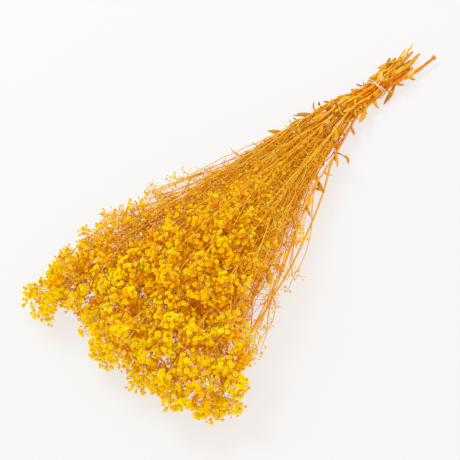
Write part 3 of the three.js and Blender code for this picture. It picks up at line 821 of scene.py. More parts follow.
def bloom(point):
    """How richly the bunch flowers at a point, from 0 to 1."""
    along = TIE_X - point.x
    side = (point.y - middle_line(along)) / half_width(along)
    height = (point.z - middle(along)) / half_height(along)
    start = BLOOM_START[0]
    start += (BLOOM_START[1] - start) * rising(side, *BLOOM_FAR)
    start += (BLOOM_START[2] - start) * rising(side, *BLOOM_NEAR)
    edge, width, loss = BLOOM_EDGE
    bareness = loss * ease((edge - side) / width) * (1 - rising(along, *BLOOM_EDGE_END))
    whole = ease((along - start) / BLOOM_RISE) * (1 - bareness)
    return whole * between(UNDERSIDE, 1, ease(height + 1))


def square(point):
    return round(point.x / COLUMN), round(point.y / COLUMN)


def crowding(point):
    """How many florets already stand over and under a place, and beside it."""
    x, y = square(point)
    near = sum(len(columns.get((x + i, y + j), ())) for i in (-1, 0, 1) for j in (-1, 0, 1))
    return near + 3 * len(columns.get((x, y), ()))


def patch(point):
    """Whether a place is in a thick patch of florets or between two, from 0 to 1."""
    waves = sum(math.sin(point.x / x + point.y / y + start) for x, y, start in PATCHES)
    return ease(0.5 + waves / len(PATCHES))


def cyme(spray, keys, root, knee, tip, out, spread, counts, fewest=0):
    """Fine stalks from a root on a branch to a cluster of florets and buds round a tip."""

    def chance(key):
        return draw(spray.index + 31 * keys[0], keys[1], 400 + key)

    flowering = bloom(tip)
    richness = flowering * between(*PATCHINESS, patch(tip)) * between(*RICHNESS, chance(3))
    florets = max(fewest, round(counts[0] * richness))
    buds = round(counts[1] * between(*BUD_SHARES, flowering))
    spread *= between(*CYME_RANGE, chance(4))
    tone = between(*FINE_TONES, chance(0))
    first = out.orthogonal().normalized()
    second = out.cross(first)

    def radial(angle):
        return first * math.cos(angle) + second * math.sin(angle)

    stalk = min(STALK, (tip - root).length)
    fork = tip - out * stalk * FORK_PLACES[0]
    steps = max(2, round((fork - root).length / STEM_STEP))
    stalk_line(spray, curved(root, knee, fork, steps), FORK_RADII[:2], tone)
    forks = [(0, fork)]
    if florets + buds > 2:
        angles = [i / FORKS + chance(1) + FORK_JITTER * chance(5 + i) for i in range(FORKS)]
        angles = [2 * math.pi * angle for angle in angles]
        end = tip - out * stalk * FORK_PLACES[1]
        forks = [(angle, end + radial(angle) * spread * FORK_SPREAD) for angle in angles]
        for angle, end in forks:
            stalk_line(spray, [fork, end], FORK_RADII[1:], tone)
    for i in range(florets + buds):
        bud = i >= florets
        evenly = ((i + 0.5) / max(1, florets)) ** 0.5
        reach = BUD_REACH * between(*BUD_PLACES, chance(20 + i)) if bud else evenly
        angle = i * GOLDEN_ANGLE + 2 * math.pi * (chance(2) + FLORET_JITTER * chance(10 + i))
        side = radial(angle)
        dome = FLORET_DOME * (1 - reach * reach) - CYME_DEPTH * spread * chance(40 + i)
        spot = clear(tip + out * dome + side * spread * reach, LOWEST_FLORET)
        facing = (out + side * reach * FACING_OUT + UP * FACING_UP).normalized()
        if spot.z < 2 * LOWEST_FLORET:
            facing = Vector((facing.x, facing.y, abs(facing.z))).normalized()
        start = min(forks, key=lambda one: -math.cos(one[0] - angle))[1]
        base = spot - facing * (BUD_BASE if bud else FLORET_BASE)
        stalk_line(spray, [start, base], FORK_RADII[2:] * 2, tone)
        alike = CYME_ALIKE * chance(0) + (1 - CYME_ALIKE) * chance(120 + i)
        floret = SimpleNamespace(
            place=spot,
            facing=facing,
            turn=2 * math.pi * chance(60 + i),
            size=between(*FLORET_RANGE, chance(80 + i)) * between(SPARSE_SIZE, 1, flowering),
            kind=FLORET_KINDS + i % 2 if bud else int(FLORET_KINDS * chance(100 + i) ** KIND_BIAS),
            tone=between(*FLORET_TONES, alike),
        )
        spray.florets.append(floret)
        columns.setdefault(square(spot), []).append(floret)


def grow_tuft(tuft):
    """A tuft's branch, and a cyme for each of the solid's florets."""
    spray = tuft.spray
    if tuft.path:
        parts = np.linspace(-EARLY_FORK, 1, BRANCH_POINTS)
        points = [clear(tuft.path(part), BRANCH_RADII[0]) for part in parts]
        radii = np.linspace(*BRANCH_RADII, BRANCH_POINTS)
        spray.branches.append(line(points, radii, draw(spray.index, tuft.branch, 5)))
    for place, floret in enumerate(tuft.florets):
        share = 1 if floret.open else CLOSED_SHARE
        tip = tuft.hub + floret.out * floret.stalk * share
        root, knee = tuft.hub, tuft.hub + floret.out * floret.stalk * FORK_BOW * share
        if place and tuft.path:
            part = between(*EARLY_CYME, draw(spray.index, tuft.branch, 170 + place))
            root = tuft.path(part)
            knee = tuft.path(between(part, 1, KNEE_PLACE)) + floret.out * KNEE_RISE
        counts = OPEN_CYME if floret.open else CLOSED_CYME
        fewest = FEWEST_FLORETS if floret.open else 0
        keys = (tuft.branch, place)
        cyme(spray, keys, root, knee, tip, floret.out, CYME_RADIUS * share, counts, fewest)


def inside_head(point):
    along = TIE_X - point.x
    aside = point.y - middle_line(along)
    edge = between(*HEAD_EDGE, rising(along, *HEAD_START))
    if aside < 0:
        edge = between(NEAR_EDGE, edge, rising(along, *NEAR_EDGE_END))
    wide = abs(aside) < edge * half_width(along)
    top = middle(along) + HEAD_TOP * half_height(along)
    return wide and LOWEST_TIP < point.z < top and point.x > HEAD_END


def grow_shoots(spray, group, path, places):
    """Short side shoots on a branch, each with a small cyme."""
    for place, part in enumerate(places):
        root = path(part)
        ahead = (path(part + AHEAD) - root).normalized()
        best = None
        for attempt in range(SHOOT_TRIES):

            def chance(key):
                return draw(spray.index + 40 * group, place + 10 * attempt, 500 + key)

            side = sideways(ahead, 2 * math.pi * chance(0))
            lean = between(*SHOOT_LEAN, chance(1))
            out = ahead * math.cos(lean) + side * math.sin(lean) + UP * SHOOT_RISE
            out.normalize()
            length = between(*SHOOT_LENGTH, chance(2))
            tip = root + out * length
            if bloom(tip) < BARE and chance(3) < BARE_SHOOTS:
                break
            if inside_head(tip) and (best is None or crowding(tip) < crowding(best[0])):
                best = tip, out, length
        if best and crowding(best[0]) < CROWDED * between(SPARSE_SHARE, 1, bloom(best[0])):
            tip, out, length = best
            knee = root + (ahead + out) * length * SHOOT_KNEE
            cyme(spray, (group + 20, place), root, knee, tip, out, SHOOT_RADIUS, SHOOT_CYME)


def grow_twigs(spray, group, path):
    """Bare forked twigs along a side stem."""
    for twig in range(TWIGS):

        def chance(key):
            return draw(spray.index + 40 * group, twig, 900 + key)

        place = (twig + chance(0)) / TWIGS
        root = path(place)
        ahead = (path(place + AHEAD) - root).normalized()
        side = sideways(ahead, 2 * math.pi * chance(1))
        lean = between(*TWIG_LEAN, chance(2))
        half = between(*TWIG_LENGTH, chance(3)) / 2
        fork = root + (ahead * math.cos(lean) + side * math.sin(lean)) * half
        if not inside_head(fork):
            continue
        tone = between(*TWIG_TONES, chance(4))
        angles = [lean - TWIG_SPLIT, lean + TWIG_SPLIT * chance(5)]
        ends = [fork + (ahead * math.cos(a) + side * math.sin(a)) * half for a in angles]
        stalk_line(spray, [root, fork, ends[0]], TWIG_RADII, tone)
        stalk_line(spray, [fork, ends[1]], TWIG_RADII[1:] * 2, tone)


def fill_thin_places():
    """Side shoots from the nearest stem into the squares of the head with few florets."""
    filled = set(columns)
    for x, y in itertools.product(range(*SQUARES_LONG), range(*SQUARES_WIDE)):
        along = TIE_X - x * COLUMN
        level = between(*THIN_HEIGHTS, draw(x, y, 800))
        tip = Vector((x * COLUMN, y * COLUMN, middle(along) + level * half_height(along)))
        amid = {(x - 1, y), (x + 1, y), (x, y - 1), (x, y + 1)} <= filled
        full = len(columns.get((x, y), ())) >= THIN * bloom(tip)
        if full or not amid or bloom(tip) < THIN_BLOOM or not inside_head(tip):
            continue
        roots = [stem_point(s, min(along - THIN_RUN, s.length - STALK)) for s in sprays]
        near = min(range(SPRAYS), key=lambda i: (roots[i] - tip).length)
        out = (tip - roots[near]).normalized()
        knee = roots[near].lerp(tip, 0.5)
        cyme(sprays[near], (110 + x, y), roots[near], knee, tip, out, SHOOT_RADIUS, SHOOT_CYME)


def grow_fine_stem(spray, group, path, radii, shoots):
    """A fine side stem along a path, with its shoots and a cyme at its end."""
    points = [clear(path(part), radii[0]) for part in np.linspace(0, 1, WISP_POINTS)]
    tone = between(*FINE_TONES, draw(spray.index, group, 6))
    fade = np.linspace(ROOT_TONE, 1, WISP_POINTS)
    # its tone is darker at the root, and darkened by painted shade deep in the bunch
    tones = [tone * share * painted_shade_factor(point) for share, point in zip(fade, points)]
    spray.stalks.append(line(points, np.linspace(*radii, WISP_POINTS), tones))
    out = (points[-1] - points[-2]).normalized()
    tip = points[-1] + out * STALK
    knee = points[-1] + out * STALK * FORK_BOW
    cyme(spray, (group, 9), points[-1], knee, tip, out, SHOOT_RADIUS, WISP_CYME)
    grow_shoots(spray, group, path, shoots)
    grow_twigs(spray, group, path)


def grow_wisp(spray, wisp):
    """A long fine side stem that leaves its main stem low down and runs nearly beside it."""

    def chance(key):
        return draw(spray.index, wisp, 600 + key)

    start = between(*WISP_START, (wisp + chance(0)) / WISPS)
    end = min(start + between(*WISP_LENGTH, chance(1)), spray.length - STALK)
    turn = 2 * math.pi * chance(2)
    reach = (end - start) * between(*WISP_LEAN, chance(3))
    aside = math.cos(turn) * reach
    if abs(spray.side * half_width(end) + aside) > half_width(end):
        aside = -aside
    off = Vector((0, aside, WISP_FLATNESS * math.sin(turn) * reach))
    wave = between(*WISP_WAVE, chance(4))

    def path(part):
        along = between(start, end, part)
        turns = along / WISP_NODE + chance(5)
        zigzag = 2 * abs(2 * (turns - math.floor(turns)) - 1) - 1
        slant = WISP_SLANT * chance(6)
        aslant = Vector((0, math.cos(slant), WISP_FLATNESS * math.sin(slant)))
        loose = ease(part / WISP_WAVE_RUN)
        point = stem_point(spray, along) + off * part + aslant * wave * loose * zigzag
        near, far = (middle_line(along) + edge * half_width(along) for edge in WISP_EDGES)
        point.y = min(far, max(near, point.y))
        return point

    grow_fine_stem(spray, 40 + wisp, path, WISP_RADII, WISP_SHOOTS)


def rounded(points, steps):
    """The points of a smooth line through some points."""
    ends = [2 * points[0] - points[1], *points, 2 * points[-1] - points[-2]]
    made = []
    for before, start, end, after in zip(ends, ends[1:], ends[2:], ends[3:]):
        for i in range(steps):
            t = i / steps
            bend = 2 * before - 5 * start + 4 * end - after
            twist = 3 * (start - end) - before + after
            made.append(start + (end - before) * t / 2 + bend * t**2 / 2 + twist * t**3 / 2)
    return made + [points[-1]]


def grow_near_stem(spray, key, florets, buds, thick, thin, places):
    """A side stem at the near edge, with a small cyme at its end."""
    radii = thick / 1000, thin / 1000
    points = rounded([Vector(place) / 1000 for place in places], NEAR_STEPS)
    points = [clear(point, radii[0]) for point in points]
    spray.branches.append(line(points, np.linspace(*radii, len(points)), NEAR_TONE))
    if florets + buds:
        out = (points[-1] - points[-2]).normalized()
        tip, knee = points[-1] + out * NEAR_STALK, points[-1] + out * NEAR_STALK / 2
        counts = (0, buds / BUD_SHARES[0])
        cyme(spray, (70, key), points[-1], knee, tip, out, NEAR_SPREAD, counts, florets)


def grow_near_cyme(spray, key, along, florets, radius, place):
    root, tip = stem_point(spray, along), Vector(place) / 1000
    out = ((tip - root).normalized() + UP).normalized()
    knee = root.lerp(tip, KNEE_PLACE)
    cyme(spray, (90, key), root, knee, tip, out, radius / 1000, (0, 1), florets)


def grow_tail_twig(spray, end, aside, upward, radius):
    """A side stem that was cut with the rest, and sticks out past its own main stem."""
    points = []
    for part in np.linspace(0, 1, TAIL_TWIG_POINTS):
        off = Vector((0, aside, upward)) * part
        points.append(clear(stem_point(spray, between(0, end, part)) + off, radius))
    radii = [radius] * TAIL_TWIG_POINTS
    spray.branches.append(line(points, radii, draw(spray.index, 9, 9)))


outermost = min(sprays, key=lambda spray: spray.side)
columns = {}
for spray in sprays:
    spray.branches, spray.stalks, spray.florets = [], [], []
    spray.tufts = find_tufts(spray)
    for tuft in spray.tufts:
        grow_tuft(tuft)
for spray in sprays:
    for tuft in spray.tufts:
        if tuft.path:
            grow_shoots(spray, tuft.branch, tuft.path, SHOOTS)
            grow_twigs(spray, tuft.branch, tuft.path)
    for wisp in range(EDGE_WISPS if spray is outermost else WISPS):
        grow_wisp(spray, wisp)
    if spray is outermost:
        for key, row in enumerate(NEAR_STEMS):
            grow_near_stem(spray, key, *row)
        for key, row in enumerate(NEAR_CYMES):
            grow_near_cyme(spray, key, *row)
    for index, *twig in TAIL_TWIGS:
        if spray.index == index:
            grow_tail_twig(spray, *twig)
fill_thin_places()
# Painted shade: florets under others in their square get a darker, oranger tone, less near the rim
for (x, y), crowd in columns.items():
    crowd.sort(key=lambda floret: -floret.place.z)
    beside = [len(columns.get((x + i, y + j), ())) for i in RIM for j in RIM]
    inside = sum(min(1, florets / THIN) for florets in beside) / len(beside)
    shade = SHADE * between(RIM_SHADE, 1, ease((inside - RIM_START) / RIM_RUN))
    for above, floret in enumerate(crowd):
        # painted light: florets towards the head's end are paler
        painted_light = END_PAINTED_LIGHT * ease((TIE_X - floret.place.x - END_START) / END_RUN)
        floret.tone = clamp(floret.tone + painted_light - shade * ease(above / SHADED_BY))
for spray in sprays:
    made = stalks(f"{spray.name}_branches", spray.branches, BRANCH_SIDES, stem_finish)
    belongs(made, "stem", spray.name)
    made = stalks(f"{spray.name}_stalks", spray.stalks, STALK_SIDES, stem_finish)
    belongs(made, "stem", spray.name)

# Florets and buds: double gypsophila florets, about 5 mm across, each a ball of thin narrow
# petals on a small cup of sepals, and closed buds half that size. They are preserved and dyed
# yellow, so the petals are matt and paler at their tips; their orange towards the roots is
# partly painted shade where they overlap, and florets under others get painted orange shade.
FLORET_SIZE = 0.0032  # one, in the sizes below
PETAL_RINGS = (
    # petals, lean above level, length, width, place and height of the root
    (5, 14, 0.86, 0.94, 0.1, 0),
    (5, 48, 0.8, 0.74, 0.1, 0.08),
)
RING_TURN = 0.5  # of the gap between two petals, for each ring
PETAL_JITTER = 0.25
PETAL_LEAN_RANGE = 16
PETAL_RANGE = (0.85, 1.05)
CLOSING = (0, 12, 26)  # degrees by which each kind of floret is more closed
DIPPED_PETAL = ((0.05, 0.35, 0), (0.62, 1, 0.1), (1, 0.6, -0.06))  # along, width and lift
PLAIN_PETAL = ((0.05, 0.4, 0), (1, 1, 0))
INNER_PETALS = (0.48, 0.3, 0.8)  # the closed middle: its radius, and its foot and top
INNER_OVAL = 0.8
INNER_TIP = (0.04, 0.03)
INNER_REACH = 0.6  # its foot has the shade of a petal at this share of its length
CUP_SIDES = 3
SEPALS = ((0.1, -0.6), (0.36, 0.06))
BUD = ((0.12, -0.3), (0.4, 0.1))
BUD_TIP = (0.12, 0.6)
BUD_LENGTHS = (1, 1.3)


def petal(mesh, layers, lean, length, width, middle_gap, root, turn, rows):
    """A petal through its rows, from its root to its tip."""
    reach, share = layers
    corners = []
    for out, wide, lift in rows:
        radius = middle_gap + out * length * math.cos(lean) - lift * math.sin(lean)
        height = root + out * length * math.sin(lean) + lift * math.cos(lean)
        for side in (-1, 1):
            half = side * wide * width / 2
            x = radius * math.cos(turn) - half * math.sin(turn)
            y = radius * math.sin(turn) + half * math.cos(turn)
            corner = mesh.verts.new(Vector((x, y, height)) * FLORET_SIZE)
            corner[reach] = out
            corner[share] = 1
            corners.append(corner)
    for row in range(0, len(corners) - 2, 2):
        a, b, c, d = corners[row : row + 4]
        mesh.faces.new((b, a, c, d))


def cup(mesh, layers, rings):
    """A small closed body of revolution: pairs of a radius and a height, from its base up."""
    reach, share = layers
    rows = []
    for radius, height in rings:
        row = []
        for i in range(CUP_SIDES):
            angle = 2 * math.pi * i / CUP_SIDES
            spot = Vector((radius * math.cos(angle), radius * math.sin(angle), height))
            corner = mesh.verts.new(spot * FLORET_SIZE)
            corner[reach] = clamp((height - rings[0][1]) / (rings[-1][1] - rings[0][1]))
            corner[share] = 0
            row.append(corner)
        rows.append(row)
    for low, high in zip(rows, rows[1:]):
        for i in range(CUP_SIDES):
            j = (i + 1) % CUP_SIDES
            mesh.faces.new((low[i], low[j], high[j], high[i]))
    mesh.faces.new(rows[0][::-1])
    mesh.faces.new(rows[-1])


def inner_petals(mesh, layers):
    """The innermost petals, closed over each other into a small ruffled cone."""
    radius, foot, top = INNER_PETALS
    reach, share = layers
    corners = []
    for i in range(4):
        angle = math.pi * i / 2
        out = radius * (1 if i % 2 else INNER_OVAL)
        spot = Vector((out * math.cos(angle), out * math.sin(angle), foot))
        corners.append(mesh.verts.new(spot * FLORET_SIZE))
    tip = mesh.verts.new(Vector((*INNER_TIP, top)) * FLORET_SIZE)
    for corner in (*corners, tip):
        corner[share] = 1
        corner[reach] = 1 if corner is tip else INNER_REACH
    for i in range(4):
        mesh.faces.new((corners[i], corners[(i + 1) % 4], tip))


def flower_object(name, build):
    mesh = bmesh.new()
    layers = [mesh.verts.layers.float.new(n) for n in ("reach", "petal")]
    build(mesh, layers)
    data = bpy.data.meshes.new(name)
    mesh.to_mesh(data)
    mesh.free()
    flower = bpy.data.objects.new(name, data)
    flower_kinds.objects.link(flower)


def floret_kind(kind):
    """A floret, from wide open to nearly closed."""

    def build(mesh, layers):
        for ring, (count, lean, length, width, gap, root) in enumerate(PETAL_RINGS):
            for i in range(count):
                place = i + RING_TURN * ring + PETAL_JITTER * draw(kind, ring, i)
                turn = 2 * math.pi * place / count
                raised = lean + CLOSING[kind] + PETAL_LEAN_RANGE * draw(kind, ring, i + 20)
                raised = math.radians(raised)
                reach = length * between(*PETAL_RANGE, draw(kind, ring, i + 40))
                rows = DIPPED_PETAL if kind == ring == 0 else PLAIN_PETAL
                petal(mesh, layers, raised, reach, width, gap, root, turn, rows)
        inner_petals(mesh, layers)
        cup(mesh, layers, SEPALS)

    return build


def bud_kind(kind):
    """A closed bud, short or long."""
    tip = (BUD_TIP[0], BUD_TIP[1] * BUD_LENGTHS[kind])

    def build(mesh, layers):
        cup(mesh, layers, (*BUD, tip))

    return build


def flower_tree():
    """Geometry nodes that set a floret or a bud on each point, facing where the point says."""
    inputs = {
        "Places": "Geometry",
        "Kinds": "Collection",
        "Size": "Float",
        "Material": "Material",
    }
    outputs = {"Florets": "Geometry"}
    tree, nodes, link = node_group("florets", "GeometryNodeTree", inputs, outputs)

    def value(name, kind):
        node = nodes.new("GeometryNodeInputNamedAttribute")
        node.data_type = kind
        node.inputs["Name"].default_value = name
        return next(s for s in node.outputs if s.name == "Attribute" and s.enabled)

    given = nodes.new("NodeGroupInput")
    kinds = nodes.new("GeometryNodeCollectionInfo")
    kinds.inputs["Separate Children"].default_value = True
    face_out = nodes.new("FunctionNodeAlignRotationToVector")
    face_out.axis = "Z"
    spin = nodes.new("FunctionNodeAxisAngleToRotation")
    spin.inputs["Axis"].default_value = (0, 0, 1)
    turned = nodes.new("FunctionNodeRotateRotation")
    turned.rotation_space = "LOCAL"
    scaled = nodes.new("ShaderNodeMath")
    scaled.operation = "MULTIPLY"
    placed = nodes.new("GeometryNodeInstanceOnPoints")
    placed.inputs["Pick Instance"].default_value = True
    link(given.outputs["Places"], placed.inputs["Points"])
    link(given.outputs["Kinds"], kinds.inputs["Collection"])
    link(kinds.outputs["Instances"], placed.inputs["Instance"])
    link(value("kind", "INT"), placed.inputs["Instance Index"])
    link(value("facing", "FLOAT_VECTOR"), face_out.inputs["Vector"])
    link(value("turn", "FLOAT"), spin.inputs["Angle"])
    link(face_out.outputs["Rotation"], turned.inputs["Rotation"])
    link(spin.outputs["Rotation"], turned.inputs["Rotate By"])
    link(turned.outputs["Rotation"], placed.inputs["Rotation"])
    link(value("size", "FLOAT"), scaled.inputs[0])
    link(given.outputs["Size"], scaled.inputs[1])
    link(scaled.outputs["Value"], placed.inputs["Scale"])
    end_tree(nodes, link, given, placed.outputs["Instances"], "Florets")
    return tree


def flowers(name, florets, material):
    guide = bpy.data.meshes.new("places")
    guide.from_pydata([f.place for f in florets], [], [])
    add_values(guide, "facing", "FLOAT_VECTOR", [f.facing for f in florets])
    add_values(guide, "kind", "INT", [f.kind for f in florets])
    for field in ("turn", "size", "tone"):
        add_values(guide, field, "FLOAT", [getattr(f, field) for f in florets])
    values = {"Kinds": flower_kinds, "Size": 1.0, "Material": material}
    return grown(name, guide, flower_nodes, values)


def floret_material():
    material, nodes, link, shader = new_material("dyed petals")
    streaks, blotches = dried_streaks(nodes, *PETAL_GRAIN)
    # the petals' colour: painted shade in orange at their roots and on florets under others
    shade = ramp(nodes, link, named(nodes, "reach"), PETAL_TIPS_AND_ROOT_SHADE)
    toned = ramp(nodes, link, named(nodes, "tone"), PETAL_TONES_AND_SHADE)
    petals = mixed(nodes, link, 1, shade, toned, "MULTIPLY")
    sepals = ramp(nodes, link, named(nodes, "reach"), SEPAL_SHADES)
    colour = mixed(nodes, link, named(nodes, "petal"), sepals, petals)
    patchy = mixed(nodes, link, ramp(nodes, link, blotches, GREY_BLOTCHES), colour, PETAL_PATCH)
    link(patchy, shader.inputs["Base Color"])
    shader.inputs["Roughness"].default_value = PETAL_ROUGHNESS
    shader.inputs["Specular IOR Level"].default_value = PETAL_SHINE
    bumped(nodes, link, shader, streaks, PETAL_BUMP)
    return material


# root to tip: the orange at the root is partly painted shade where petals overlap
PETAL_TIPS_AND_ROOT_SHADE = (
    (0, (1, 0.4, 0)),
    (0.5, (1, 0.73, 0)),
    (1, (0.95, 0.95, 0.01)),
)
# a floret's tone: its low end is the painted shade of florets under others
PETAL_TONES_AND_SHADE = (
    (0, (0.8, 0.32, 0.2)),
    (0.45, (0.98, 0.62, 0.7)),
    (1, (0.98, 1, 1)),
)
SEPAL_SHADES = (
    (0, (0.86, 0.34, 0.003)),
    (1, (1, 0.62, 0.006)),
)
PETAL_PATCH = (0.97, 0.6, 0.001)
PETAL_GRAIN = (0.0009, 0.03)
PETAL_BUMP = 0.0002
PETAL_ROUGHNESS = 0.8
PETAL_SHINE = 0.05

flower_kinds = bpy.data.collections.new("floret kinds")
for kind in range(FLORET_KINDS):
    flower_object(f"kind_{kind}_floret", floret_kind(kind))
for kind in range(len(BUD_LENGTHS)):
    flower_object(f"kind_{FLORET_KINDS + kind}_bud", bud_kind(kind))
flower_nodes = flower_tree()
floret_finish = floret_material()
for spray in sprays:
    made = flowers(f"{spray.name}_florets", spray.florets, floret_finish)
    belongs(made, "floret", spray.name)
for flower in list(flower_kinds.objects):
    bpy.data.objects.remove(flower)
bpy.data.collections.remove(flower_kinds)

# Leaves: narrow and lance-shaped, in the lower half of the stems. They are thin, folded along
# the midrib and curled by drying, and dyed with the rest to gold and olive.
INNER_LEAVES = (-0.4,)  # the solids' leaves: shares of the tail, or places along
OUTER_LEAVES = (-0.25, -0.6, 0.045, 0.11)
OUTER_SPRAYS = 10
LEAF_LENGTH = 0.027
LEAF_WIDTH = 0.005
LEAF_RANGE = (0.75, 1.2)
LEAF_LEAN = (0.25, 0.75)
LEAF_ARCH = 0.35
LEAF_SHIFT = (0.15, 0.04)
LEAF_ROWS = 8
LEAF_FOLD = 0.35
LEAF_WAVE = (0.05, 0.94)  # a leaf is as wide as a sine wave, from where and over how much of it
LEAF_FULLNESS = 0.8  # under 1, a leaf is wide over more of its length
NARROWEST_LEAF = 0.0002
LOWEST_LEAF = 0.0004
RIPPLE = 0.0003
RIPPLE_WAVES = (9, 3, 6)  # along a leaf, across it, and from one leaf to the next
LEAF_STEP = 0.01  # the share of a leaf over which its direction is taken
LEAF_MIDDLE = (0.4, 0.6)  # and between which its tilt is taken
LEAF_KEYS = 20  # from one stem to the next
STEM_AHEAD = 0.005  # the length over which a stem's direction is taken
LEAF_THICKNESS = 0.0003
TAIL_LEAVES = 6  # smaller leaves on each stem below the tie, and above it
NECK_LEAVES = 16
NECK_END_LEAF = 0.22
HIGH_TAIL = 0.3  # the thick stem's small leaves sit in this share of its tail, under the tie
DOWNWARD = 0.6  # how many leaves of the tail point to the cut ends
LOWEST_LEAF_TIP = 0.002
PLACED_LEAF_RISE = 0.25
PLACED_LEAVES = (
    # the leaves that stand out: stem, along, angle from the stem, bend, length
    (13, 0.088, 0.95, -0.5, 0.021),
    (13, 0.12, 0.8, 0.8, 0.008),
    (13, 0.148, 1, 0.5, 0.007),
    (13, -0.006, 0.5, 0.3, 0.013),
    (13, -0.068, 0.2, 0.25, 0.034),
    (13, -0.055, 0.35, -0.3, 0.022),
    (17, 0.122, 1.9, -1.4, 0.026),
    (17, 0.04, 1.2, 0.3, 0.011),
    (17, -0.007, 1.6, 0.2, 0.011),
    (17, -0.024, 1.8, 0.3, 0.0125),
    (17, -0.0455, 1.6, -0.2, 0.013),
    (17, 0.185, 1.4, 0.7, 0.014),
    (12, 0.3, 0.5, -0.1, 0.03),
)
SMALL_LEAF_LENGTHS = ((0.014, 0.03), (0.007, 0.023))  # in the tail and in the neck
SMALL_LEAF_STARTS = ((0.02, 0.28), (0.1, 0.7))  # the angles from the stem at which they start
SMALL_LEAF_BENDS = ((-0.25, 0.3), (-0.6, 1.5))  # and bend on
SMALL_LEAF_WIDTHS = (0.17, 0.24)
TAIL_LEAF_TURN = (-0.5, 2.4)  # round their stem, from the far side over the top
LEAF_UPWARD = (0.4, 1)  # how far a leaf's blade turns up to the light
TWIST_END = 0.5  # it has turned at this share of its length


def leaf_path(spray, leaf):
    """The path of a leaf's midrib and the side it leans to, where the solid has this leaf."""
    places = INNER_LEAVES if spray.index < OUTER_SPRAYS else OUTER_LEAVES
    if leaf >= len(places):
        return None
    place = places[leaf]
    jitter = draw(spray.index, leaf, 200) - 0.5
    in_tail = spray.tail * (place + LEAF_SHIFT[0] * jitter)
    along = in_tail if place < 0 else place + LEAF_SHIFT[1] * jitter
    root = on_stem(spray, along)
    ahead = (on_stem(spray, along + STEM_AHEAD) - root).normalized()
    for attempt in range(TUFT_TRIES):
        outward = sideways(ahead, 2 * math.pi * draw(spray.index, leaf, 210 + attempt))
        lean = between(*LEAF_LEAN, draw(spray.index, leaf, 260 + attempt))
        length = LEAF_LENGTH * between(*LEAF_RANGE, draw(spray.index, leaf, 310 + attempt))

        def point_at(share):
            rise = share - LEAF_ARCH * share**2
            return root + ahead * length * share + outward * length * lean * rise

        if spray.corners.find(point_at(1))[2] < SEATED:
            return point_at, outward, LEAF_WIDTH * length / LEAF_LENGTH
    return None


def bent(root, ahead, outward, start, bend, length):
    """A path along an arc that starts at an angle to the stem and bends away from it."""

    def point_at(share):
        turned = start + bend * share
        forward = (math.sin(turned) - math.sin(start)) / bend
        away = (math.cos(start) - math.cos(turned)) / bend
        return root + (ahead * forward + outward * away) * length

    return point_at


def small_leaf_path(spray, leaf):
    """A small leaf beside the stem, first those in the tail and then those in the neck."""

    def chance(key):
        return draw(spray.index, leaf, 700 + key)

    in_tail = leaf < TAIL_LEAVES
    part = 0 if in_tail else 1
    if in_tail:
        along = -spray.tail * (leaf + chance(0)) / TAIL_LEAVES
    else:
        along = NECK_END_LEAF * (leaf - TAIL_LEAVES + chance(0)) / NECK_LEAVES
    if in_tail and spray.index == THICK_STEM:
        along *= HIGH_TAIL
    root = stem_point(spray, along)
    ahead = (stem_point(spray, along + STEM_AHEAD) - root).normalized()
    turn = between(*TAIL_LEAF_TURN, chance(1)) if in_tail else 2 * math.pi * chance(1)
    outward = sideways(ahead, turn)
    length = between(*SMALL_LEAF_LENGTHS[part], chance(2))
    if in_tail and chance(5) < DOWNWARD:
        ahead = -ahead
        root = stem_point(spray, max(along, length - spray.tail))
    if root.z + outward.z * length < LOWEST_LEAF_TIP:
        outward = -outward
    start = between(*SMALL_LEAF_STARTS[part], chance(3))
    bend = between(*SMALL_LEAF_BENDS[part], chance(4))
    width = SMALL_LEAF_WIDTHS[part] * length
    return bent(root, ahead, outward, start, bend, length), outward, width


def placed_leaf_path(spray, along, start, bend, length):
    """A leaf that points out from the side of the bunch."""
    root = stem_point(spray, along)
    ahead = (stem_point(spray, along + STEM_AHEAD) - root).normalized()
    outward = Vector((0, math.copysign(1, spray.side), PLACED_LEAF_RISE)).normalized()
    return bent(root, ahead, outward, start, bend, length), outward, SMALL_LEAF_WIDTHS[1] * length


def leaf_mesh(mesh, path, key):
    """Adds a leaf along its path: folded along the midrib and turned up to the light."""
    point_at, outward, width = path
    tone, midrib = (mesh.verts.layers.float[n] for n in ("tone", "midrib"))
    shade = draw(key, 7, 1)
    along, across_it, between_leaves = RIPPLE_WAVES
    forward = (point_at(LEAF_MIDDLE[1]) - point_at(LEAF_MIDDLE[0])).normalized()
    normal = forward.cross(outward).normalized().cross(forward)
    tilt = math.atan2(normal.cross(UP).dot(forward), normal.dot(UP))
    tilt -= math.pi * round(tilt / math.pi)
    twist = tilt * between(*LEAF_UPWARD, draw(key, 7, 2)) / TWIST_END
    aside = (point_at(2 * LEAF_STEP) - point_at(0)).cross(outward).normalized()
    rows = []
    for row in range(LEAF_ROWS + 1):
        share = row / LEAF_ROWS
        ahead = (point_at(share + LEAF_STEP) - point_at(share - LEAF_STEP)).normalized()
        turned = Matrix.Rotation(twist * min(share, TWIST_END), 3, ahead)
        flat, raised = turned @ aside, turned @ aside.cross(ahead)
        wave = math.sin(math.pi * (share * LEAF_WAVE[1] + LEAF_WAVE[0]))
        half = width / 2 * wave**LEAF_FULLNESS + NARROWEST_LEAF
        points = []
        for side in (-1, 0, 1):
            fold = half * LEAF_FOLD * (1 + share) * abs(side)
            phase = along * share + across_it * side + between_leaves * shade
            ripple = RIPPLE * math.sin(phase)
            spot = point_at(share) + flat * half * side - raised * (fold - ripple)
            corner = mesh.verts.new(clear(spot, LOWEST_LEAF))
            corner[tone] = shade
            corner[midrib] = 1 - abs(side)
            points.append(corner)
        rows.append(points)
    for low, high in zip(rows, rows[1:]):
        for i in range(2):
            face = mesh.faces.new((low[i], low[i + 1], high[i + 1], high[i]))
            face.smooth = True


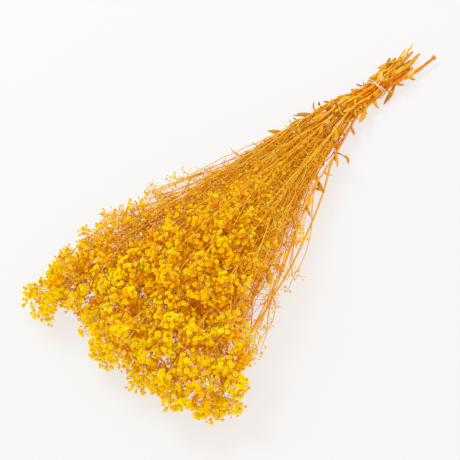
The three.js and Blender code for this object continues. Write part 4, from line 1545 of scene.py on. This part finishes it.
def leaf_material():
    material, nodes, link, shader = new_material("dried leaf")
    streaks, blotches = dried_streaks(nodes, *LEAF_GRAIN)
    tone = ramp(nodes, link, named(nodes, "tone"), LEAF_TONES)
    midrib = ramp(nodes, link, named(nodes, "midrib"), MIDRIB)
    ribbed = mixed(nodes, link, midrib, tone, LEAF_MIDRIB)
    streaked = mixed(nodes, link, ramp(nodes, link, streaks, GREY_STREAKS), ribbed, LEAF_STREAK)
    colour = mixed(nodes, link, ramp(nodes, link, blotches, GREY_BLOTCHES), streaked, LEAF_BLOTCH)
    link(colour, shader.inputs["Base Color"])
    shader.inputs["Roughness"].default_value = LEAF_ROUGHNESS
    shader.inputs["Specular IOR Level"].default_value = LEAF_SHINE
    bumped(nodes, link, shader, streaks, LEAF_BUMP)
    return material


LEAF_TONES = (
    (0, (0.45, 0.13, 0.002)),
    (0.4, (0.72, 0.38, 0.008)),
    (1, (0.9, 0.67, 0.05)),
)
LEAF_MIDRIB = (0.8, 0.52, 0.08)
LEAF_STREAK = (0.5, 0.2, 0.006)
LEAF_BLOTCH = (0.8, 0.54, 0.04)
MIDRIB = ((0.8, (0, 0, 0)), (1, (0.6, 0.6, 0.6)))
LEAF_GRAIN = (0.0007, 0.008)
LEAF_BUMP = 0.0003
LEAF_ROUGHNESS = 0.65
LEAF_SHINE = 0.2

leaf_finish = leaf_material()
for spray in sprays:
    paths = [leaf_path(spray, leaf) for leaf in range(len(OUTER_LEAVES))]
    paths = [path for path in paths if path]
    paths += [small_leaf_path(spray, leaf) for leaf in range(TAIL_LEAVES + NECK_LEAVES)]
    for stem, *leaf in PLACED_LEAVES:
        if stem == spray.index:
            paths.append(placed_leaf_path(spray, *leaf))
    mesh = bmesh.new()
    for layer_name in ("tone", "midrib"):
        mesh.verts.layers.float.new(layer_name)
    for key, path in enumerate(paths):
        leaf_mesh(mesh, path, spray.index * LEAF_KEYS + key)
    data = bpy.data.meshes.new(f"{spray.name}_leaves")
    mesh.to_mesh(data)
    mesh.free()
    data.materials.append(leaf_finish)
    leaves = bpy.data.objects.new(f"{spray.name}_leaves", data)
    bpy.context.scene.collection.objects.link(leaves)
    solid = leaves.modifiers.new("thickness", "SOLIDIFY")
    solid.thickness = LEAF_THICKNESS
    solid.offset = 0
    belongs(leaves, "leaf", spray.name)

# The tie: a cream cotton string of three twisted plies. It goes round the stems twice, crosses
# itself on top and underneath, and is knotted on top, with two loose ends.
STRING_RADIUS = 0.00075
STRING_LEAN = 0.0026
STRING_BAND = 0.004
STRING_GAP = 0.0005
BAND_STEP = 0.004  # the stems under the string are measured this far apart
BAND_ROUNDING = 0.0001
KNOT_ANGLE = math.radians(112)
STRING_STEPS = 96
PLIES = 3
PLY_RADIUS = 0.0004
PLY_OFFSET = 0.0004
PLY_PITCH = 0.0055
PLY_SIDES = 6
PLY_AXIS = Vector((1, 0.2, 0.1))  # no part of the string runs along it
LOOSE_ENDS = (((8, 48), 0.02), ((8, -2), 0.0145))  # degrees they turn by, and reach
LOOSE_END_RISE = 0.002
LOOSE_END_POINTS = 24
KNOT_LEANS = (0.6, -0.6)
KNOT_LOOP = (0.0013, 0.0011)
KNOT_RISE = 0.0003
KNOT_STEPS = 24


def string_point(angle, along, start, end):
    """A point of the string's middle line, round the stems between two places along them."""
    edge = 0
    for spray in sprays:
        for place in np.arange(start, end + BAND_ROUNDING, BAND_STEP):
            point = on_stem(spray, place)
            out = (point.y - BUNCH_Y) * math.cos(angle) + (point.z - TIE_MIDDLE) * math.sin(angle)
            edge = max(edge, out + spray.radius)
    radius = edge + STRING_GAP + STRING_RADIUS
    return Vector(
        (
            TIE_X - along,
            BUNCH_Y + radius * math.cos(angle),
            TIE_MIDDLE + radius * math.sin(angle),
        )
    )


def twisted(points, key):
    """The three plies of a string along its middle line."""
    lengths = np.cumsum([0] + [(b - a).length for a, b in zip(points, points[1:])])
    plies = []
    for ply in range(PLIES):
        spots = []
        for i, point in enumerate(points):
            ahead = (points[min(i + 1, len(points) - 1)] - points[max(i - 1, 0)]).normalized()
            aside = ahead.cross(PLY_AXIS).normalized()
            other = ahead.cross(aside)
            angle = 2 * math.pi * (lengths[i] / PLY_PITCH + ply / PLIES)
            spots.append(point + (aside * math.cos(angle) + other * math.sin(angle)) * PLY_OFFSET)
        plies.append(line(spots, [PLY_RADIUS] * len(spots), draw(key, ply, 8)))
    return plies


def string_turn(lean):
    """One turn of the string round the stems, which leans across the other."""
    angles = np.linspace(0, 2 * math.pi, STRING_STEPS + 1)
    return [
        string_point(angle, lean * math.sin(angle - KNOT_ANGLE), -STRING_BAND, STRING_BAND)
        for angle in angles
    ]


def loose_end(turns, reach):
    points = []
    for share in np.linspace(0, 1, LOOSE_END_POINTS):
        turn = between(turns[0] * share, turns[1], share**3)
        angle = KNOT_ANGLE - math.radians(turn)
        rise = UP * LOOSE_END_RISE * ease(share)
        points.append(string_point(angle, -reach * share, -reach, STRING_BAND) + rise)
    return points


def knot_loops():
    """Two small tight loops across each other where the string is knotted."""
    middle_of_knot = string_point(KNOT_ANGLE, 0, -STRING_BAND, STRING_BAND)
    loops = []
    for lean in KNOT_LEANS:
        points = []
        for angle in np.linspace(0, 2 * math.pi, KNOT_STEPS + 1):
            x = KNOT_LOOP[0] * math.cos(angle)
            y = KNOT_LOOP[1] * math.sin(angle)
            spot = Vector((x, y * math.cos(lean), KNOT_RISE + y * math.sin(lean)))
            points.append(middle_of_knot + spot)
        loops.append(points)
    return loops


def string_material():
    material, nodes, link, shader = new_material("cotton string")
    streaks, _ = dried_streaks(nodes, *STRING_GRAIN)
    tone = ramp(nodes, link, named(nodes, "tone"), STRING_TONES)
    colour = mixed(nodes, link, ramp(nodes, link, streaks, GREY_STREAKS), tone, STRING_SHADE)
    link(colour, shader.inputs["Base Color"])
    shader.inputs["Roughness"].default_value = STRING_ROUGHNESS
    shader.inputs["Sheen Weight"].default_value = STRING_SHEEN
    bumped(nodes, link, shader, streaks, STRING_BUMP)
    return material


STRING_TONES = ((0, (0.83, 0.7, 0.52)), (1, (0.93, 0.84, 0.7)))
STRING_SHADE = (0.62, 0.42, 0.24)
STRING_GRAIN = (0.0003, 0.004)
STRING_BUMP = 0.0002
STRING_ROUGHNESS = 0.85
STRING_SHEEN = 0.3

paths = [string_turn(STRING_LEAN), string_turn(-STRING_LEAN)]
paths += [loose_end(*end) for end in LOOSE_ENDS]
paths += knot_loops()
plies = [ply for key, path in enumerate(paths) for ply in twisted(path, key)]
belongs(stalks("tie_string", plies, PLY_SIDES, string_material()), "string", "tie")

# The table, the light and the camera: a plain pale sheet that also glows faintly, a painted
# light, under a soft window in the upper left, with a warm light without shadow for what the
# table and the room throw back into the bunch.
# It is seen from above and to the side as in the photograph.
CAMERA_AZIMUTH = math.radians(-52.3)
CAMERA_HEIGHT = math.radians(55)
CAMERA_TARGET = Vector((-0.088, 0.00705, 0.035))
LENS = 85
SENSOR = 36
VIEW_WIDTH = 0.5152
FLOOR_SIZE = 30
# the sheet's bluish colour and its pinker glow: with the glow a painted light, shade on it stays
# pinkish
TABLE_COLOUR = (0.2, 0.25, 0.3, 1)
TABLE_PAINTED_GLOW = (1, 0.955, 0.935, 1)
TABLE_PAINTED_GLOW_STRENGTH = 0.675
TABLE_ROUGHNESS = 0.9
TABLE_SHINE = 0.1
ROOM_COLOUR = (1, 0.74, 0.63, 1)
ROOM_STRENGTH = 0.92
WINDOW_PLACE = Vector((0.15, 1.8, 2.45))
WINDOW_AIM = Vector((-0.05, 0, 0.03))
WINDOW_SIZE = 1.3
WINDOW_POWER = 38
WINDOW_COLOUR = (0.6, 1, 0.95)
BOUNCE_POWER = 0.8
BOUNCE_COLOUR = (1, 0.74, 0.56)
BOUNCE_LEAN = math.radians(20)


def table_material():
    """A pale sheet that also glows by itself, a painted light, so that shadows on it are faint."""
    material, _, _, shader = new_material("pale table")
    shader.inputs["Base Color"].default_value = TABLE_COLOUR
    shader.inputs["Roughness"].default_value = TABLE_ROUGHNESS
    shader.inputs["Specular IOR Level"].default_value = TABLE_SHINE
    shader.inputs["Emission Color"].default_value = TABLE_PAINTED_GLOW
    shader.inputs["Emission Strength"].default_value = TABLE_PAINTED_GLOW_STRENGTH
    return material


def lamp(name, kind, power, colour):
    light = bpy.data.lights.new(name, kind)
    light.energy = power
    light.color = colour
    made = bpy.data.objects.new(name, light)
    bpy.context.scene.collection.objects.link(made)
    return made


sheet = bpy.data.meshes.new("table")
half = FLOOR_SIZE / 2
sheet.from_pydata(
    [(-half, -half, 0), (half, -half, 0), (half, half, 0), (-half, half, 0)], [], [(0, 1, 2, 3)]
)
sheet.materials.append(table_material())
table = bpy.data.objects.new("table", sheet)
bpy.context.scene.collection.objects.link(table)

world = bpy.data.worlds.new("soft room")
bpy.context.scene.world = world
world.use_nodes = True
background = world.node_tree.nodes["Background"]
background.inputs["Color"].default_value = ROOM_COLOUR
background.inputs["Strength"].default_value = ROOM_STRENGTH
window = lamp("window", "AREA", WINDOW_POWER, WINDOW_COLOUR)
window.data.shape = "DISK"
window.data.size = WINDOW_SIZE
window.location = WINDOW_PLACE
window.rotation_euler = (WINDOW_AIM - WINDOW_PLACE).to_track_quat("-Z", "Y").to_euler()
bounce = lamp("bounce", "SUN", BOUNCE_POWER, BOUNCE_COLOUR)
bounce.data.use_shadow = False
bounce.rotation_euler = (BOUNCE_LEAN, 0, 0)
bpy.context.scene.view_settings.view_transform = "Standard"

back = Vector(
    (
        math.sin(CAMERA_AZIMUTH) * math.cos(CAMERA_HEIGHT),
        -math.cos(CAMERA_AZIMUTH) * math.cos(CAMERA_HEIGHT),
        math.sin(CAMERA_HEIGHT),
    )
)
lens = bpy.data.cameras.new("camera")
lens.lens = LENS
lens.sensor_width = SENSOR
lens.clip_start = 0.01
camera = bpy.data.objects.new("camera", lens)
bpy.context.scene.collection.objects.link(camera)
camera.location = CAMERA_TARGET + back * VIEW_WIDTH * LENS / SENSOR
camera.rotation_euler = (-back).to_track_quat("-Z", "Y").to_euler()
bpy.context.scene.camera = camera
